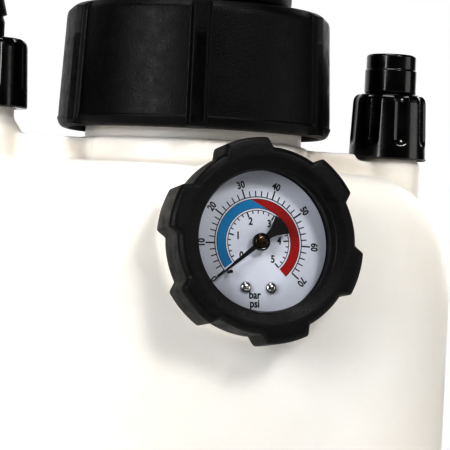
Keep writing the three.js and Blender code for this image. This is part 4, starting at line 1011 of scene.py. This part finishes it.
# %% [markdown]
# ### The dial plate, its screws and the window
# The plate is a thin disc with a turned edge. Two round-headed screws hold it, each with a slot,
# and a small pin stops the pointer at zero. The window is a flat disc just behind the nut's lip.

# %% the dial's plate and window
def disc(name, r, hole, low, high, edge=0.2):
    outline = [(r, low), (r, high), (hole, high), (hole, low)]
    return turned(name, soften(in_metres(outline), edge * MM, 3), 128)


put("dial_plate", disc("dial_plate", 24.55, 1.6, -11.2, -10.4), DIAL_ENAMEL, "gauge_dial", IN_GAUGE)
put("window_pane", disc("window_pane", 27.9, 0.001, -6, -4.5), WINDOW, "gauge_window", IN_GAUGE)


SCREW_ASIDE, SCREW_DOWN = 4.5, 15.1


def screw_mesh(x, slot_turn):
    outline = [(0, -5), (1, -5), (1, 0.05), (1.85, 0.05), (1.95, 0.4)]
    dome = [(1.95 * math.cos(t), 0.4 + 1.15 * math.sin(t)) for t in (0.25, 0.5, 0.75, 1.0, 1.25, 1.45)]
    mesh = turned("screw", [(r * MM, DIAL_FACE + z * MM) for r, z in outline + dome + [(0, 1.55)]], 40)
    slot = slab("slot", (-3 * MM, -0.2 * MM, DIAL_FACE + 1.15 * MM), (3 * MM, 0.2 * MM, DIAL_FACE + 3 * MM))
    slot.transform(Matrix.Rotation(slot_turn, 4, "Z"))
    mesh = combined(mesh, [slot], "DIFFERENCE")
    mesh.transform(Matrix.Translation((x * MM, -SCREW_DOWN * MM, 0)))
    return mesh


put("dial_screw_l", screw_mesh(-SCREW_ASIDE, 0.5), STEEL, "dial_screw_left", IN_GAUGE)
put("dial_screw_r", screw_mesh(SCREW_ASIDE, 1.3), STEEL, "dial_screw_right", IN_GAUGE)

# %% [markdown]
# ### The pointer
# The pointer is a stamped plate: a long tapering blade, and behind the hub a tail that flares
# like a fan to balance it. It is drawn pointing along +X, given thickness and a small bevel, and
# turned to zero. Its hub is a dark ring around a bare metal cap.

# %% the pointer
POINTER_LEVEL = DIAL_FACE + 2.6 * MM
POINTER_THICK, POINTER_BEVEL = 0.5 * MM, 0.09 * MM
POINTER_AT_ZERO = math.radians(219)


def pointer_mesh():
    blade = [(20.6, 0.1), (12, 0.42), (2.4, 0.8)]
    tail = [(-2.4, 0.95), (-4.2, 1.15), (-6, 1.75), (-7.8, 2.65), (-9.7, 3.75), (-10.3, 2.0), (-10.55, 0.6)]
    outline = blade + tail + [(x, -y) for x, y in reversed(blade + tail)]
    made = bmesh.new()
    face = made.faces.new([made.verts.new((x * MM, y * MM, 0)) for x, y in outline])
    raised = bmesh.ops.extrude_face_region(made, geom=[face])["geom"]
    corners = [item for item in raised if isinstance(item, bmesh.types.BMVert)]
    bmesh.ops.translate(made, vec=(0, 0, POINTER_THICK), verts=corners)
    bmesh.ops.recalc_face_normals(made, faces=made.faces)
    top = [edge for edge in made.edges if all(v.co.z > 0.4 * MM for v in edge.verts)]
    bmesh.ops.bevel(made, geom=top, offset=POINTER_BEVEL, segments=2, affect="EDGES")
    mesh = bpy.data.meshes.new("pointer")
    made.to_mesh(mesh)
    made.free()
    return mesh


to_zero = Matrix.Rotation(POINTER_AT_ZERO, 4, "Z")
IN_NEEDLE = IN_GAUGE @ Matrix.Translation((0, 0, POINTER_LEVEL)) @ to_zero
put("pointer_blade", pointer_mesh(), NEEDLE_BLACK, "pointer", IN_NEEDLE)
hub = in_metres([(2.2, -0.5), (3.0, -0.5), (3.0, 0.8), (2.7, 1.0), (2.2, 0.9)])
hub_mesh = turned("hub", soften(hub, 0.15 * MM), 64)
put("pointer_hub", hub_mesh, POLISHED_BLACK, "pointer", IN_NEEDLE, hides=False)
cap = in_metres([(0, -0.6), (2.15, -0.6), (2.15, 0.75), (1.9, 0.98), (1.3, 1.12), (0, 1.2)])
put("pointer_boss", turned("cap", soften(cap, 0.12 * MM), 64), BRONZE, "pointer_cap", IN_NEEDLE)

# %% [markdown]
# ## The handle
# The handle is one moulding: a T grip on a bell that covers the top of the pump. The grip and
# bell are united and relaxed together like the tank, and then bored for the pump's turret and
# its locking lugs.

# %% the handle
HANDLE_LOW, HANDLE_HIGH = [Vector(corner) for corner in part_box("handle")]
GRIP_R = 12.5 * MM
GRIP_Z = HANDLE_HIGH.z - GRIP_R


def grip_mesh():
    half = HANDLE_HIGH.x
    rows = 60
    outline = [(0, -half)]
    for i in range(rows + 1):
        x = -half * math.cos(math.pi * i / rows) * 0.998
        end = math.sqrt(max(0, 1 - (abs(x) / half) ** 14))
        fingers = 0.55 * math.cos(x / half * 4 * math.pi) - 0.6
        outline.append((max(0.1 * MM, (GRIP_R + fingers * MM) * end), x))
    mesh = turned("grip", outline + [(0, half)])
    mesh.transform(Matrix.Translation((0, 0, GRIP_Z)) @ Matrix.Rotation(math.pi / 2, 4, "Y"))
    return mesh


def bell_mesh():
    foot, grip = HANDLE_LOW.z, GRIP_Z
    skirt = [(0, foot), (34 * MM, foot), (34 * MM, foot + 9 * MM), (30 * MM, foot + 14 * MM)]
    stalk = [(19 * MM, grip - 10 * MM), (14.5 * MM, grip - 2 * MM), (12 * MM, grip + 6 * MM)]
    return turned("bell", soften(skirt + stalk + [(0, grip + 9 * MM)], 3 * MM, 6), 128)


TURRET_ROOM_R, LUG_ROOM_R, ROD_ROOM_R = 28.6 * MM, 30.6 * MM, 6.3 * MM
LUG_SLOT_HALF = 5.5 * MM


def handle_hollows():
    turret_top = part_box("pump_barrel")[1][2]
    foot = HANDLE_LOW.z - 1 * MM
    lug_top = turret_top - 3 * MM
    return [
        bore(TURRET_ROOM_R, foot, turret_top + 3.8 * MM, Matrix()),
        bore(LUG_ROOM_R, turret_top - 7 * MM, lug_top, Matrix()),
        slab("slot", (-LUG_SLOT_HALF, -LUG_ROOM_R, foot), (LUG_SLOT_HALF, LUG_ROOM_R, lug_top)),
        bore(ROD_ROOM_R, foot, GRIP_Z - 3.7 * MM, Matrix()),
    ]


handle = relaxed(combined(bell_mesh(), [grip_mesh()], "UNION"), voxel=1.1 * MM, passes=10)
put("handle_moulding", combined(handle, handle_hollows(), "DIFFERENCE"), COLLAR_BLACK, "handle")

# %% [markdown]
# ## The pump's barrel, rod and inner pieces
# These show when the pump is lifted out or the handle is raised. The barrel is a straight tube
# under a flange, with two lugs on its turret. The rod is turned and plated steel.

# %% the barrel and the rod
BARREL_LOW, BARREL_HIGH = [Vector(corner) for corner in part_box("pump_barrel")]
LUG_ANGLES = [math.radians(90), math.radians(-90)]
LUG_HALF, LUG_EDGE, NEAR_LUG_R = 4.5 * MM, 0.15 * MM, 29 * MM
TURRET_R, LUG_PROUD = 28 * MM, 2 * MM
TUBE_R, TUBE_BORE_R, RING_R, FLANGE_R = 22 * MM, 20 * MM, 22.7 * MM, 40.4 * MM


def lugged(angle, r, z):
    below = BARREL_HIGH.z - z
    if r > 27.9 * MM and 3.4 * MM < below < 6.6 * MM:
        lug = max(swell(apart(angle, centre) * NEAR_LUG_R, LUG_HALF, LUG_EDGE) for centre in LUG_ANGLES)
        return on_circle(angle, max(r, TURRET_R + LUG_PROUD * lug), z)
    return on_circle(angle, r, z)


def barrel_outline():
    top, low = BARREL_HIGH.z, BARREL_LOW.z
    flange = top - 17.4 * MM
    outer = [(TUBE_BORE_R, low), (TUBE_R, low)]
    for i in range(5):
        z = low + (40 + 44 * i) * MM
        outer += [(TUBE_R, z - 1.2 * MM), (RING_R, z - 0.4 * MM)]
        outer += [(RING_R, z + 0.4 * MM), (TUBE_R, z + 1.2 * MM)]
    outer += [(TUBE_R, flange), (FLANGE_R, flange)]
    outer += [(FLANGE_R, flange + 4.4 * MM), (TURRET_R, flange + 4.4 * MM)]
    outer += [(TURRET_R, top - d * MM) for d in (6.7, 6.5, 3.5, 3.3)]
    return soften(outer + [(TURRET_R, top), (TUBE_BORE_R, top)], 0.35 * MM, 2)


barrel_angles = near(LUG_ANGLES, LUG_HALF / NEAR_LUG_R, LUG_EDGE / NEAR_LUG_R, 112)
put("barrel_ringed", turned("barrel", barrel_outline(), barrel_angles, lugged), BARREL_GREY, "pump_barrel")

ROD_LOW, ROD_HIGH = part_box("plunger_rod")[0][2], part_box("plunger_rod")[1][2]
rod = soften([(0, ROD_LOW), (6 * MM, ROD_LOW), (6 * MM, ROD_HIGH), (0, ROD_HIGH)], 0.7 * MM)
put("rod_polished", turned("rod", rod, 64), STEEL, "plunger_rod")

# %% [markdown]
# ## The pieces that keep their CAD shape
# Seals, the valve's small pieces and the gauge's works are already right, and hidden or nearly
# so. They only need their finish, which goes into the material slots of the CAD objects.

# %% finish the kept nodes
FINISH_OF_SLOT = {
    "black_plastic": COLLAR_BLACK,
    "black_gloss": POLISHED_BLACK,
    "grey_plastic": BARREL_GREY,
    "white_plastic": ACETAL,
    "rubber": RUBBER,
    "steel": STEEL,
    "brass": BRASS,
    "clear_tube": TUBING,
    "painted_black": CASE_BLACK,
    "window": WINDOW,
    "dial_white": DIAL_ENAMEL,
    "needle_black": NEEDLE_BLACK,
    "natural_hdpe": POLYETHYLENE,
}
for node, held in frame["nodes"].items():
    made_of = BRONZE if node == "zero_stop_pin" else FINISH_OF_SLOT[SLOT_OF[node]]
    for socket in held.material_slots:
        socket.material = made_of
    if not held.material_slots:
        held.data.materials.append(made_of)
print("finished", len(frame["nodes"]), "CAD nodes")
